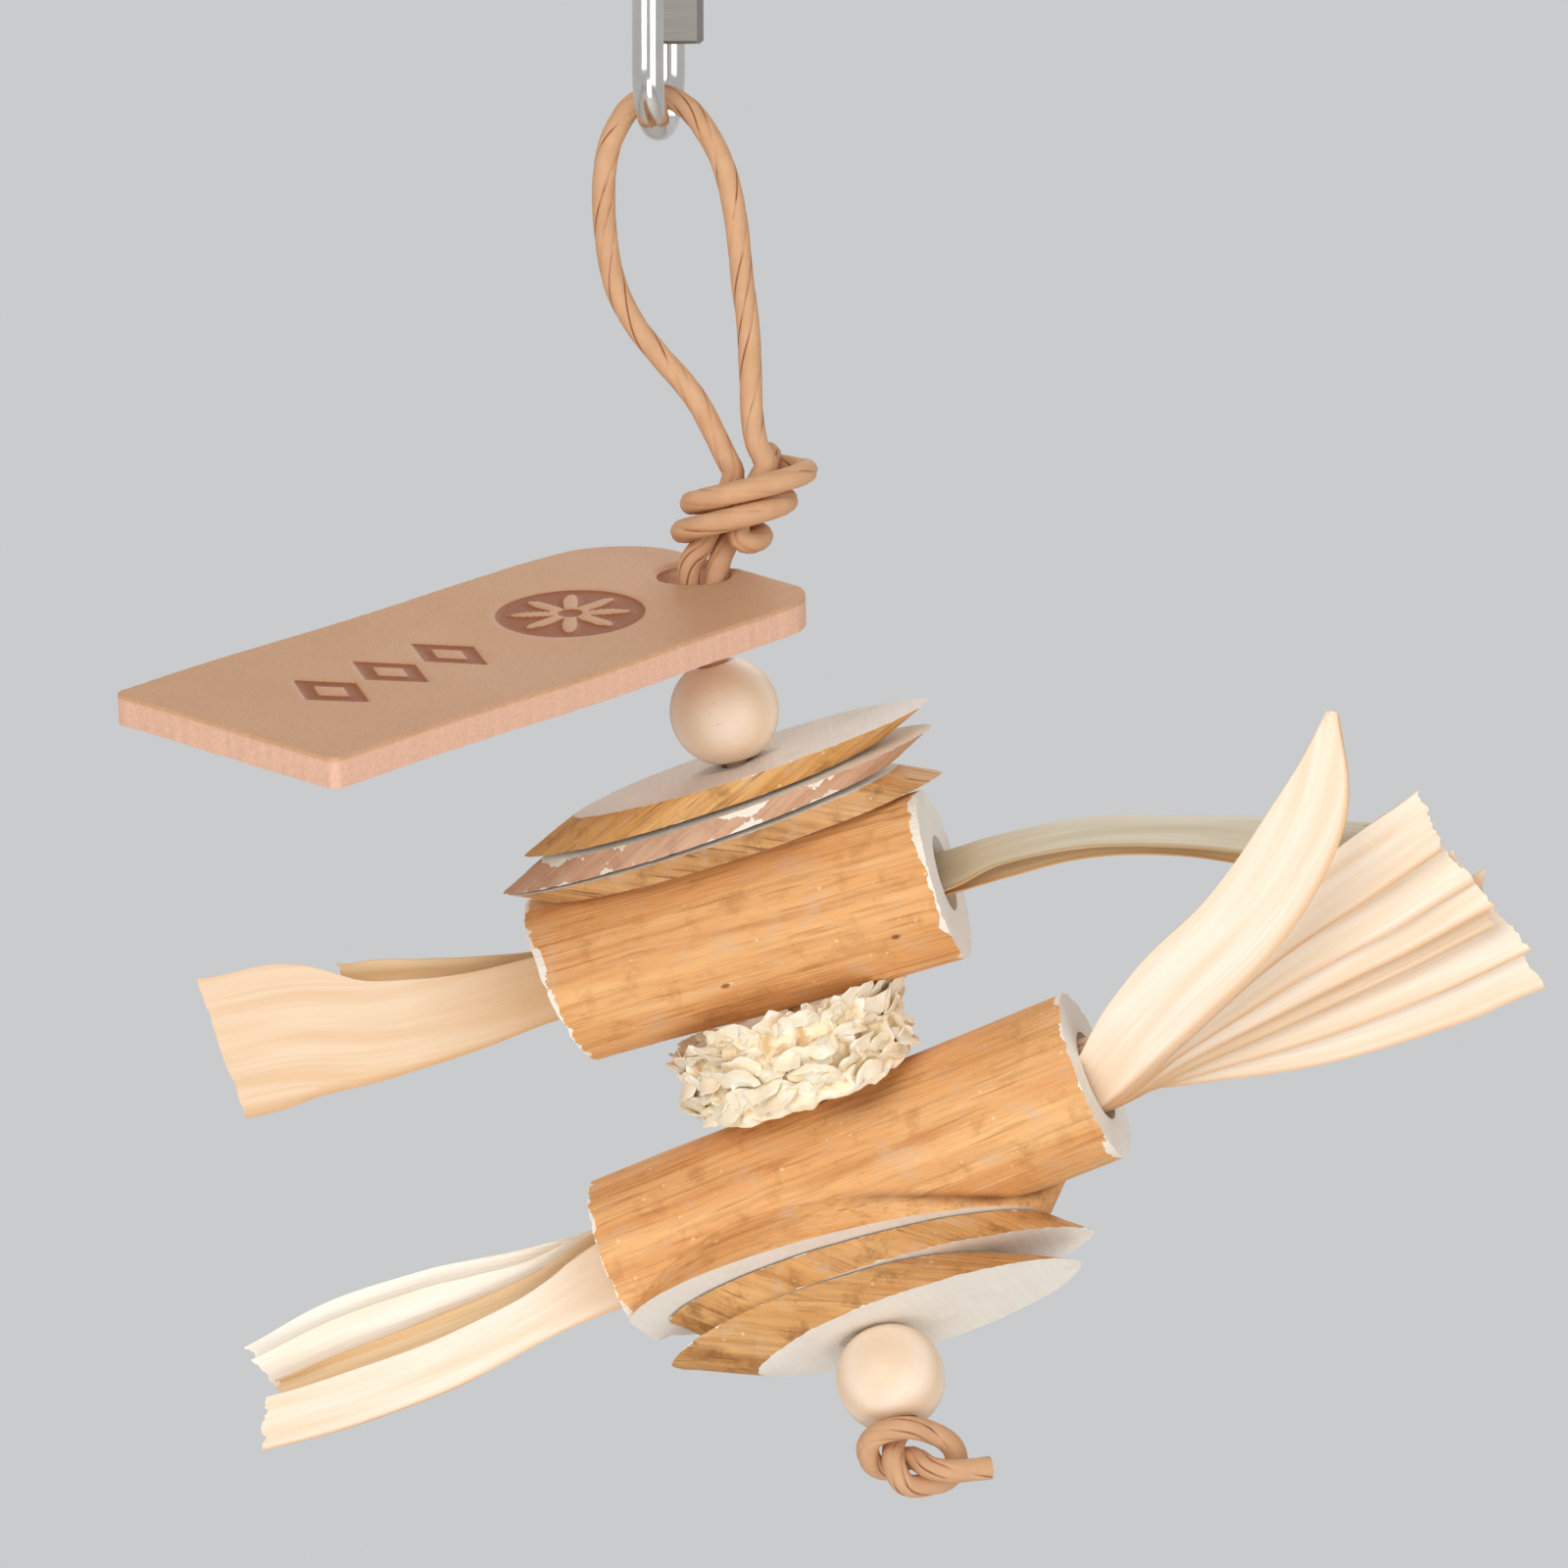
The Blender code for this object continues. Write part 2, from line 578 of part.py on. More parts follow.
def wrap_route():
    """The right strand in the knot: down, out, two wraps up, and down again beside the left strand."""
    strand_x = KNOT_PACK / 2
    strand_y = KNOT_PACK * math.sqrt(3) / 2
    low = KNOT_PITCH * 1.13
    points = [knot_point(strand_x, -strand_y, height * MM) for height in (4.0, 1.0, -2.0)]
    foot = ((1.2, -1.9, -3.4), (2.3, -2.6, -5.2), (4.2, -1.7, -5.6), (4.9, 1.0, -4.9), (3.0, 4.5, -4.6))
    points += [knot_point(*(value * MM for value in place)) for place in foot]
    for degrees in range(100, 790, 30):
        angle = math.radians(degrees)
        turns = (degrees - 100) / 360
        x = (KNOT_WRAP_X + KNOT_WRAP_GROWTH * turns) * math.cos(angle)
        rise = KNOT_PITCH * turns + KNOT_SLOPE * x
        points.append(knot_point(x, KNOT_WRAP_Y * math.sin(angle), rise - low))
    crown = ((0.6, 4.9, 4.3), (0.7, 3.0, 5.5), (1.0, 1.9, 4.2))
    points += [knot_point(*(value * MM for value in place)) for place in crown]
    points += [knot_point(strand_x, strand_y, height * MM) for height in (1.5, -1.5, -4.5)]
    return points


def hitch_route():
    """The short end: through the tag's hole and once round the long strand, under the tag."""
    points = [Vector(place) * MM for place in ((8.0, 0.9, -89.6), (7.3, 0.4, -92.3), (7.3, 0.3, -95.6))]
    for degrees in range(0, 301, 50):
        angle = math.radians(degrees)
        drop = (97.6 + 1.4 * degrees / 300) * MM
        share = (drop + STRING_TOP.z) / (TOP_BEAD_CENTRE.z - STRING_TOP.z)
        axis = STRING_TOP.lerp(TOP_BEAD_CENTRE, -share)
        radius = CORD + SEAT
        points.append(Vector((axis.x + radius * math.cos(angle), axis.y + radius * math.sin(angle), -drop)))
    return points


def paper_cord():
    """One length: long strand up from the lower stick, loop, knot, and the short end under the tag."""
    long_strand = [LOWER_CENTRE.lerp(COB_CENTRE, CORD_SPLIT), COB_CENTRE, UPPER_CENTRE, B_CENTRE]
    long_strand += [TOP_BEAD_CENTRE, STRING_TOP.lerp(TOP_BEAD_CENTRE, 0.45), STRING_TOP]
    core = [knot_point(-KNOT_PACK, 0, height * MM) for height in (-6.0, -3.0, 0.0)]
    route = long_strand + core + loop_route() + wrap_route() + hitch_route()
    path = thinned(smooth_path(route, 6), math.radians(CORD_POINT_TURN), CORD_POINT_STEP)
    return tube("paper_cord", path, CORD, 2, PAPER)


def bottom_knot_route():
    """An overhand knot under the lower bead, in millimetres from its middle, with its tail to the right."""
    ring = ((0.5, -3.8, -7.6), (0.4, -6.9, -10.2), (1.9, -6.4, -12.7), (4.9, -4.5, -13.0), (7.4, -3.1, -12.3))
    side = ((8.4, -2.9, -10.3), (7.6, -4.0, -7.9), (4.9, -5.9, -6.0), (1.75, -7.8, -5.2), (-1.45, -7.3, -6.0))
    tuck = ((-2.95, -5.6, -7.9), (-2.35, -4.1, -10.3), (-0.3, -3.2, -11.2), (2.6, -4.2, -9.6))
    tail = ((5.1, -7.0, -10.5), (8.4, -7.4, -10.8), (12.7, -6.6, -10.5))
    return [BOTTOM_BEAD_CENTRE + Vector(place) * MM for place in ring + side + tuck + tail]


def paper_cord_tail():
    """The cord's lower end, which turns with the lower stick, the slices under it and the knot."""
    bead_foot = BOTTOM_BEAD_CENTRE + FLAT_DOWN * BEAD_HEIGHT / 2
    straight = [LOWER_CENTRE.lerp(FLAT_CENTRE, CORD_SPLIT), FLAT_CENTRE, E_CENTRE]
    straight += [BOTTOM_BEAD_CENTRE, bead_foot]
    route = smooth_path(straight + bottom_knot_route(), 6)
    path = thinned(route, math.radians(CORD_POINT_TURN), CORD_POINT_STEP)
    return tube("paper_cord_tail", path, CORD, 2, PAPER)


# Corn husk strips


def husk_strip(name, place, stations, reach_in):
    """A thin strip from inside its bore outwards. Each station is x out of the bore, y, z, width and roll."""
    first = stations[0]
    inner = (-reach_in, first[1], first[2] / 2, first[3], first[4])
    values = [Vector(station[:3]) * MM for station in stations]
    route = [Vector((-reach_in, first[1] * MM, first[2] / 2 * MM)), *values]
    widths = [Vector((station[3] * MM, math.radians(station[4]), 0)) for station in (inner, *stations)]
    path = smooth_path(route, 3)
    shapes = smooth_path(widths, 3)
    strip = bmesh.new()
    rows = []
    for i, (centre, shape) in enumerate(zip(path, shapes)):
        ahead = path[min(i + 1, len(path) - 1)] - path[max(i - 1, 0)]
        side = Vector((0, math.sin(shape.y), math.cos(shape.y)))
        side = (side - ahead * side.dot(ahead) / ahead.length_squared).normalized()
        half = shape.x / 2
        rows.append([strip.verts.new(centre + side * half * share) for share in (-1.0, 0.0, 1.0)])
    for row, after in zip(rows, rows[1:]):
        for i in range(2):
            strip.faces.new((row[i], row[i + 1], after[i + 1], after[i]))
    obj = add(name, mesh_of(name, strip), HUSK_LEAF, place)
    wall = obj.modifiers.new("thickness", "SOLIDIFY")
    wall.thickness = HUSK
    wall.offset = 0.0
    return obj


def root_width(bore, y):
    """The widest strip, in millimetres, that fits a bore at a distance from its middle."""
    half = math.sqrt((bore / 2) ** 2 - (abs(y) * MM + HUSK) ** 2) - SEAT
    return 2 * half / MM


def mouth(centre, rotation, length, off, sign):
    """The frame of a bore's mouth: +X out of the stick, +Y away from the front."""
    place = Matrix.Translation(centre) @ rotation @ Matrix.Translation((off + sign * length / 2, 0, 0))
    if sign < 0:
        place = place @ Matrix.Scale(-1, 4, (1, 0, 0))
    return place


def husk_bundle(name, place, bore, depth, strips):
    """Strips stuffed in one bore. Each is its y in the bore, its root's share, then its stations."""
    for i, (y, share, stations) in enumerate(strips, 1):
        widest = root_width(bore, y)
        spare = widest * (1 - share) / 2
        lift = max(-spare, min(spare, stations[0][2] / 3))
        root = (0.0, y, lift, widest * share, 0)
        husk_strip(f"{name}_{i}", place, [root, *stations], depth - 2 * MM)


def husks():
    """The four bunches, by stations of x out of the bore, y, z, width in millimetres and roll in degrees."""
    broad = ((12, -1.2, -0.2, 10.5, 0), (24, -2.0, 1.4, 13.5, 4))
    broad += ((34, -3.0, 4.9, 18.4, 8), (44.5, -3.5, 6.2, 18.8, 10))
    behind = ((11, 1.6, 2.0, 8.6, 0), (20, 2.6, 3.8, 9.0, -6), (28, 3.4, 5.4, 8.6, -10))
    strips = ((-1.0, 0.98, broad), (1.0, 0.98, behind))
    place = mouth(UPPER_CENTRE, UPPER_TURN, UPPER_LENGTH, UPPER_OFF, -1)
    husk_bundle("upper_left_husk", place, UPPER_BORE, UPPER_BORE_DEPTH, strips)

    front = ((8, -0.8, 1.2, 6.4, 58), (19, -0.3, 0.2, 7.0, 70), (31, 0, -3.2, 7.6, 72))
    front += ((42, 0, -7.0, 8.0, 70), (54, 0, -10.4, 6.0, 72))
    under = ((8, 1.0, -1.4, 6.2, 55), (19, 1.6, -1.9, 7.0, 74))
    under += ((30, 2.0, -5.0, 7.2, 76), (40, 2.0, -9.2, 7.0, 76))
    strips = ((-0.8, 0.9, front), (0.8, 0.9, under))
    place = mouth(UPPER_CENTRE, UPPER_TURN, UPPER_LENGTH, UPPER_OFF, 1)
    husk_bundle("upper_right_husk", place, UPPER_BORE, UPPER_BORE_DEPTH, strips)

    low = ((12, -3.2, -1.6, 6.6, 0), (26, -3.8, -2.9, 6.8, 6))
    low += ((40, -4.2, -2.6, 7.0, 8), (54, -4.4, -1.2, 6.6, 4))
    middle = ((12, -1.0, 0.0, 7.0, 0), (26, -1.2, -0.4, 7.4, 4))
    middle += ((40, -1.4, 0.2, 7.6, 0), (53, -1.6, 0.8, 7.0, 0))
    high = ((12, 1.0, 1.2, 7.0, 0), (26, 1.4, 1.9, 7.4, -4))
    high += ((40, 1.6, 2.4, 7.4, 0), (52, 1.8, 1.6, 7.0, 0))
    top = ((12, 3.0, 2.5, 6.4, 0), (26, 3.6, 4.4, 6.6, -6))
    top += ((40, 4.0, 5.0, 6.6, -6), (53, 4.4, 3.4, 6.0, -4))
    strips = ((-2.7, 0.97, low), (-0.9, 0.97, middle), (0.9, 0.97, high), (2.7, 0.97, top))
    place = mouth(LOWER_CENTRE, LOWER_TURN, LOWER_LENGTH, LOWER_OFF, -1)
    husk_bundle("lower_left_husk", place, LOWER_BORE, LOWER_BORE_DEPTH, strips)

    leaf = ((3, -5.0, 2.6, 7.6, 0), (8, -6.0, 5.6, 9.6, 0), (16, -7.8, 9.0, 10.8, 0))
    leaf += ((26, -9.6, 13.4, 11.0, 0), (35, -11.0, 19.0, 10.6, 0), (43, -11.8, 26.2, 8.4, 0))
    leaf += ((49.5, -12.2, 35.8, 2.4, 0),)
    strips = [(-4.4, 0.9, leaf)]
    for i in range(6):
        share = i / 5
        y = -2.7 + 1.25 * i
        fan = (
            (12, y * 1.1, 3.6 - 7.6 * share, 6.6, 0),
            (28, y * 1.25, 8.2 - 14.0 * share, 7.2, 0),
            (44, y * 1.5, 13.4 - 20.2 * share, 7.8, 0),
            (58 - 0.35 * (i - 3) ** 2, y * 1.65, 17.0 - 24.6 * share, 8.0, 0),
        )
        strips.append((y, 0.9, fan))
    place = mouth(LOWER_CENTRE, LOWER_TURN, LOWER_LENGTH, LOWER_OFF, 1)
    husk_bundle("lower_right_husk", place, LOWER_BORE, LOWER_BORE_DEPTH, strips)


# The toy, from the link down

quick_link_body()
quick_link_nut()
paper_cord()
leather_tag()
bead("top_bead", TOP_BEAD_CENTRE, STRING_TURN)
bark_slice("bark_slice_a", SLICE_A, A_CENTRE, A_TURN)
bark_slice("bark_slice_b", SLICE_B, B_CENTRE, B_TURN)
bark_slice("bark_slice_c", SLICE_C, C_CENTRE, C_TURN)
upper_stick()
corn_cob_slice()
lower_stick()
husks()
bark_slice("bark_slice_d", SLICE_D, D_CENTRE, D_TURN)
bark_slice("bark_slice_e", SLICE_E, E_CENTRE, E_TURN)
bead("bottom_bead", BOTTOM_BEAD_CENTRE, FLAT_TURN)
paper_cord_tail()
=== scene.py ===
import json
import math
import random
from functools import partial

import bpy
from mathutils import Matrix, Vector, noise


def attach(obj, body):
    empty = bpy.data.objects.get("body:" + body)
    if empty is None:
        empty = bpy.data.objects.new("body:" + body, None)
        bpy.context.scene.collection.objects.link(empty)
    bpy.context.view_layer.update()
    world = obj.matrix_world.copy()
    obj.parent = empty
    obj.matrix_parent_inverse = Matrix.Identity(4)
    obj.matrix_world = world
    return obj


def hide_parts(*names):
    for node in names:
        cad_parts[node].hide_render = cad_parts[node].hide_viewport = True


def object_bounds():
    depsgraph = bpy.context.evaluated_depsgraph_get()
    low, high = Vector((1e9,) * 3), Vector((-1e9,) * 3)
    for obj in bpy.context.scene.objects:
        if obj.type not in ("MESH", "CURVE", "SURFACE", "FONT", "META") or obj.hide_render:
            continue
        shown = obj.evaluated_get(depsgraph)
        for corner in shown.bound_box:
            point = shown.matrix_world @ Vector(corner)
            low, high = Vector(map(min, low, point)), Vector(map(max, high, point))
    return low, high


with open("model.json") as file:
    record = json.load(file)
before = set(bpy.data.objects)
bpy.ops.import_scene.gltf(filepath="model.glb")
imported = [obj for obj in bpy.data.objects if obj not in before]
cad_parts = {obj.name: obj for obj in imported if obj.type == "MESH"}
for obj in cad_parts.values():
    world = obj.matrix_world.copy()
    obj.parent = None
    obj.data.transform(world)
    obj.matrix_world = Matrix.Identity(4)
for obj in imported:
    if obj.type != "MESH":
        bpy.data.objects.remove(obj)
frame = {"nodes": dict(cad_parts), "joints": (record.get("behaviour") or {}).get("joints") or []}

MM = 0.001
cad_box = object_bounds()


# Quick link
# A stock link bent from 4 mm steel rod, tumbled to a bright polish and nickel plated.
# A hook on the cage takes its top bend, and the paper cord loops over the lower one.

LINK_WIRE = 4.0 * MM
LINK_BEND = 7.25 * MM
LINK_LEG_TOP = -5.25 * MM
LINK_LEG_BOTTOM = -27.75 * MM
LINK_GATE_TOP = -17.95 * MM
LINK_GATE_BOTTOM = -22.75 * MM
LINK_YAW = math.radians(-10.0)
WELD = 0.002 * MM


def linear(colour):
    """A hex colour such as C39A78 as linear RGBA."""
    parts = [int(colour[i : i + 2], 16) / 255 for i in (0, 2, 4)]
    return (*[p / 12.92 if p <= 0.04045 else ((p + 0.055) / 1.055) ** 2.4 for p in parts], 1.0)


def add_node(tree, kind, inputs=None, out=0, **settings):
    """Adds a shader node and returns one of its outputs. An input that is given as a socket is linked."""
    made = tree.nodes.new("ShaderNode" + kind)
    for setting, value in settings.items():
        setattr(made, setting, value)
    for socket, value in (inputs or {}).items():
        if isinstance(value, bpy.types.NodeSocket):
            tree.links.new(value, made.inputs[socket])
        else:
            made.inputs[socket].default_value = value
    return made.outputs[out]


def new_finish(name, roughness, metallic=0.0, specular=0.5):
    """A new material, its shader, and add_node for its own node tree."""
    made = bpy.data.materials.new(name)
    made.use_nodes = True
    shader = made.node_tree.nodes["Principled BSDF"]
    shader.inputs["Roughness"].default_value = roughness
    shader.inputs["Metallic"].default_value = metallic
    shader.inputs["Specular IOR Level"].default_value = specular
    return made, shader, partial(add_node, made.node_tree)


def feed(shader, colour, height=None, depth=0.0, roughness=None):
    """Links a finish's colour, a bump whose full height is depth, and a roughness that varies."""
    tree = shader.id_data
    tree.links.new(colour, shader.inputs["Base Color"])
    if roughness is not None:
        tree.links.new(roughness, shader.inputs["Roughness"])
    if height is not None:
        bump = add_node(tree, "Bump", {"Height": height, "Distance": depth, "Strength": 1.0}, "Normal")
        tree.links.new(bump, shader.inputs["Normal"])


def begin(primitive, name, **sizes):
    """A new piece from one of Blender's primitives, selected by itself."""
    bpy.ops.object.select_all(action="DESELECT")
    getattr(bpy.ops.mesh, f"primitive_{primitive}_add")(**sizes)
    made = bpy.context.object
    made.name = name
    return made


def edit_all():
    """Goes to edit mode with everything selected."""
    bpy.ops.object.mode_set(mode="EDIT")
    bpy.ops.mesh.select_all(action="SELECT")


def end_edit():
    bpy.ops.object.mode_set(mode="OBJECT")


def bend_rod(centre_height):
    """Carries the rod's selected end half a turn round the middle of the link."""
    bpy.ops.mesh.spin(steps=40, angle=math.pi, center=(0, 0, centre_height), axis=(1, 0, 0))


def extend_rod(height):
    bpy.ops.mesh.extrude_region_move(TRANSFORM_OT_translate={"value": (0, 0, height)})


link = begin("circle", "quick_link_rod", vertices=32, radius=LINK_WIRE / 2, fill_type="NGON")
edit_all()
bpy.ops.transform.translate(value=(0, LINK_BEND, LINK_GATE_BOTTOM))
extend_rod(LINK_LEG_BOTTOM - LINK_GATE_BOTTOM)
bend_rod(LINK_LEG_BOTTOM)
extend_rod(LINK_LEG_TOP - LINK_LEG_BOTTOM)
bend_rod(LINK_LEG_TOP)
extend_rod(LINK_GATE_TOP - LINK_LEG_TOP)
bpy.ops.mesh.select_all(action="SELECT")
bpy.ops.mesh.remove_doubles(threshold=WELD)
bpy.ops.mesh.normals_make_consistent(inside=False)
end_edit()
link.rotation_euler.z = LINK_YAW
bpy.ops.object.transform_apply(location=True, rotation=True, scale=True)
bpy.ops.object.shade_smooth_by_angle(angle=math.radians(40))

# Polished nickel-plated steel: near mirror bright and faintly warm, with a soft haze of fine handling marks.
steel, shader, node = new_finish("polished_nickel_plated_steel", 0.14, 1.0)
at = node("TexCoord", out="Object")
marks = node("TexNoise", {"Vector": at, "Scale": 1 / (2.2 * MM), "Detail": 4.0})
tint = node("Mix", {0: marks, 6: linear("CBC7C2"), 7: linear("DEDBD6")}, 2, data_type="RGBA")
haze = node("MapRange", {"Value": marks, "To Min": 0.08, "To Max": 0.2})
feed(shader, tint, roughness=haze)
link.data.materials.append(steel)
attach(link, "hanger")
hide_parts("quick_link_body")


# Quick link nut
# A hexagonal sleeve nut turned from bar, plated duller than the rod.
# It runs on the thread of the rear leg and closes the gate.

# Plated bar steel: satin grey, with turning marks across the flats.
nut_steel, shader, node = new_finish("zinc_plated_bar_steel", 0.48, 1.0)
at = node("TexCoord", out="Object")
rings = node("Mapping", {"Vector": at, "Scale": (1 / (6 * MM), 1 / (6 * MM), 1 / (0.3 * MM))})
turning = node("TexNoise", {"Vector": rings, "Scale": 1.0, "Detail": 3.0})
tint = node("Mix", {0: turning, 6: linear("7F7A74"), 7: linear("938E88")}, 2, data_type="RGBA")
feed(shader, tint, turning, 0.01 * MM)
nut = frame["nodes"]["quick_link_nut"]
nut.data.materials.clear()
nut.data.materials.append(nut_steel)


# Paper cord
# One length of twisted kraft paper: up through the stack, over the link and back, and knotted round itself.
# Its short end passes the tag's hole and hitches round the long strand. The lower knot comes later.

CORD = 3.0 * MM
CORD_SIDES = 44
CORD_CURVE = 14
CORD_STEP = 0.6 * MM
CORD_TWIST = 25.0 * MM
CORD_SLACK = 0.985
CORD_SWELL = 0.03
CORD_SWELL_SIZE = 6.0 * MM
CORD_SPLIT = 0.08
CORD_SEAT = 0.3 * MM
CREASES = ((0.10, 0.12), (0.28, 0.05), (0.48, 0.08), (0.74, 0.06))
CREASE_WIDTH = 0.024
CREASE_DARK = 0.004
KNOT_CENTRE = Vector((10.6, 0.0, -82.2)) * MM
KNOT_LEAN = 0.5
KNOT_PITCH = 3.7
KNOT_MIDDLE = 1.13
KNOT_SLOPE = 0.18
KNOT_PACK = 2.1
KNOT_WRAP_X = 5.4
KNOT_WRAP_GROWTH = 0.6
KNOT_WRAP_Y = 5.45
WRAP_FROM = 100
WRAP_TO = 790
WRAP_STEP = 30
HITCH_TOP = 97.6
HITCH_FALL = 1.4
HITCH_TURN = 300
HITCH_STEP = 50
STRING_TOP = Vector((3.8, 0.0, -91.8)) * MM
LINK_INSIDE_LENGTH = 33.0 * MM


def seat_of(joint, yaw=0.0):
    """A threaded piece's frame: Z up its joint's axis, and X to the right of the front view."""
    made = next(j for j in frame["joints"] if j["name"] == joint)
    up = Vector(made["axis"])
    right = Vector((up.z, 0, -up.x)).normalized()
    turned = Matrix((right, up.cross(right), up)).transposed().to_4x4()
    return Matrix.Translation(made["pos_m"]) @ turned @ Matrix.Rotation(math.radians(yaw), 4, "Z")


def pick(piece):
    """Selects the piece by itself and makes it the active one."""
    bpy.ops.object.select_all(action="DESELECT")
    piece.select_set(True)
    bpy.context.view_layer.objects.active = piece


def smooth_path(points, steps):
    """A smooth curve through the points, as a Catmull-Rom chain."""
    ends = [points[0] * 2 - points[1], *points, points[-1] * 2 - points[-2]]
    path = [points[0].copy()]
    for before, start, end, after in zip(ends, ends[1:], ends[2:], ends[3:]):
        for i in range(1, steps + 1):
            t = i / steps
            bend = (before * 2 - start * 5 + end * 4 - after) * t**2
            twist = (start * 3 - before - end * 3 + after) * t**3
            path.append((start * 2 + (end - before) * t + bend + twist) / 2)
    return path


def evenly(path, step):
    """Points along the path, one step apart."""
    spaced = [path[0]]
    left = step
    for start, end in zip(path, path[1:]):
        run = (end - start).length
        while run > left:
            spaced.append(start.lerp(end, left / run))
            left += step
        left -= run
    return [*spaced, path[-1]]


def knot_point(x, y, z):
    """A point of the top knot, in millimetres, sheared so that the knot leans with the cord."""
    return KNOT_CENTRE + Vector((x + KNOT_LEAN * z, y, z)) * MM


def fold_outline():
    """The cord's cross-section: a round with the creases where the paper strip laps over itself."""
    data = bpy.data.curves.new("cord_outline", "CURVE")
    data.dimensions = "2D"
    outline = data.splines.new("POLY")
    outline.use_cyclic_u = True
    outline.points.add(CORD_SIDES - 1)
    for i, point in enumerate(outline.points):
        share = i / CORD_SIDES
        radius = CORD / 2
        for place, depth in CREASES:
            away = abs((share - place + 0.5) % 1 - 0.5)
            radius -= CORD / 2 * depth * math.exp(-((away / CREASE_WIDTH) ** 2))
        angle = -2 * math.pi * share
        point.co = (radius * math.cos(angle), radius * math.sin(angle), 0, 1)
    made = bpy.data.objects.new("cord_outline", data)
    bpy.context.scene.collection.objects.link(made)
    return made


def twisted_cord(name, route):
    """A mesh of the twisted cord along a route."""
    path = evenly(smooth_path(route, CORD_CURVE), CORD_STEP)
    data = bpy.data.curves.new(name, "CURVE")
    data.dimensions = "3D"
    data.bevel_mode = "OBJECT"
    data.bevel_object = fold_outline()
    data.use_fill_caps = True
    spline = data.splines.new("POLY")
    spline.points.add(len(path) - 1)
    for i, (point, place) in enumerate(zip(spline.points, path)):
        point.co = (*place, 1.0)
        point.tilt = 2 * math.pi * i * CORD_STEP / CORD_TWIST
        point.radius = CORD_SLACK + CORD_SWELL * noise.noise(place / CORD_SWELL_SIZE)
    made = bpy.data.objects.new(name, data)
    bpy.context.scene.collection.objects.link(made)
    pick(made)
    outline = data.bevel_object
    bpy.ops.object.convert(target="MESH")
    bpy.data.objects.remove(outline)
    edit_all()
    bpy.ops.mesh.remove_doubles(threshold=WELD / 2)
    end_edit()
    bpy.ops.object.shade_smooth_by_angle(angle=math.radians(50))
    return made


top_bead_centre = seat_of("top_bead_turn").translation
slice_b_centre = seat_of("slice_b_turn").translation
upper_centre = seat_of("upper_stick_turn").translation
cob_centre = seat_of("cob_turn").translation
lower_centre = seat_of("lower_stick_turn").translation

long_strand = [lower_centre.lerp(cob_centre, CORD_SPLIT), cob_centre, upper_centre, slice_b_centre]
long_strand += [top_bead_centre, STRING_TOP.lerp(top_bead_centre, 0.45), STRING_TOP]
core = [knot_point(-KNOT_PACK, 0, height) for height in (-6.0, -3.0, 0.0)]
left = ((9.4, 79.3), (8.5, 77.1), (4.6, 69.6), (-0.1, 64.0), (-3.0, 60.3), (-5.3, 55.9), (-6.5, 50.9))
shoulder = ((-7.0, 44.6), (-6.7, 39.6), (-5.6, 35.9), (-3.4, 32.6))
crest = (0.0, (LINK_INSIDE_LENGTH - CORD_SEAT - CORD / 2) / MM)
over = ((3.4, 32.6), (6.1, 35.9), (8.0, 39.6), (9.1, 43.4), (9.9, 47.8))
right = ((10.6, 54.6), (11.3, 60.3), (11.6, 65.9), (11.8, 71.5))
loop = [Vector((x, 0, -depth)) * MM for x, depth in (*left, *shoulder, crest, *over, *right)]
loop.append(Vector((12.4, -0.8, -75.3)) * MM)
strand_x = KNOT_PACK / 2
strand_y = KNOT_PACK * math.sqrt(3) / 2
wraps = [knot_point(strand_x, -strand_y, height) for height in (4.0, 1.0, -2.0)]
foot = ((1.2, -1.9, -3.4), (2.3, -2.6, -5.2), (4.2, -1.7, -5.6), (4.9, 1.0, -4.9), (3.0, 4.5, -4.6))
wraps += [knot_point(*place) for place in foot]
for degrees in range(WRAP_FROM, WRAP_TO, WRAP_STEP):
    turns = (degrees - WRAP_FROM) / 360
    x = (KNOT_WRAP_X + KNOT_WRAP_GROWTH * turns) * math.cos(math.radians(degrees))
    rise = KNOT_PITCH * (turns - KNOT_MIDDLE) + KNOT_SLOPE * x
    wraps.append(knot_point(x, KNOT_WRAP_Y * math.sin(math.radians(degrees)), rise))
crown = ((0.6, 4.9, 4.3), (0.7, 3.0, 5.5), (1.0, 1.9, 4.2))
wraps += [knot_point(*place) for place in crown]
wraps += [knot_point(strand_x, strand_y, height) for height in (1.5, -1.5, -4.5)]
hitch = [Vector(place) * MM for place in ((8.0, 0.9, -89.6), (7.3, 0.4, -92.3), (7.3, 0.3, -95.6))]
for degrees in range(0, HITCH_TURN + 1, HITCH_STEP):
    drop = -(HITCH_TOP + HITCH_FALL * degrees / HITCH_TURN) * MM
    axis = STRING_TOP.lerp(top_bead_centre, (drop - STRING_TOP.z) / (top_bead_centre.z - STRING_TOP.z))
    angle = math.radians(degrees)
    around = Vector((math.cos(angle), math.sin(angle))) * (CORD + CORD_SEAT)
    hitch.append(Vector((axis.x + around.x, axis.y + around.y, drop)))

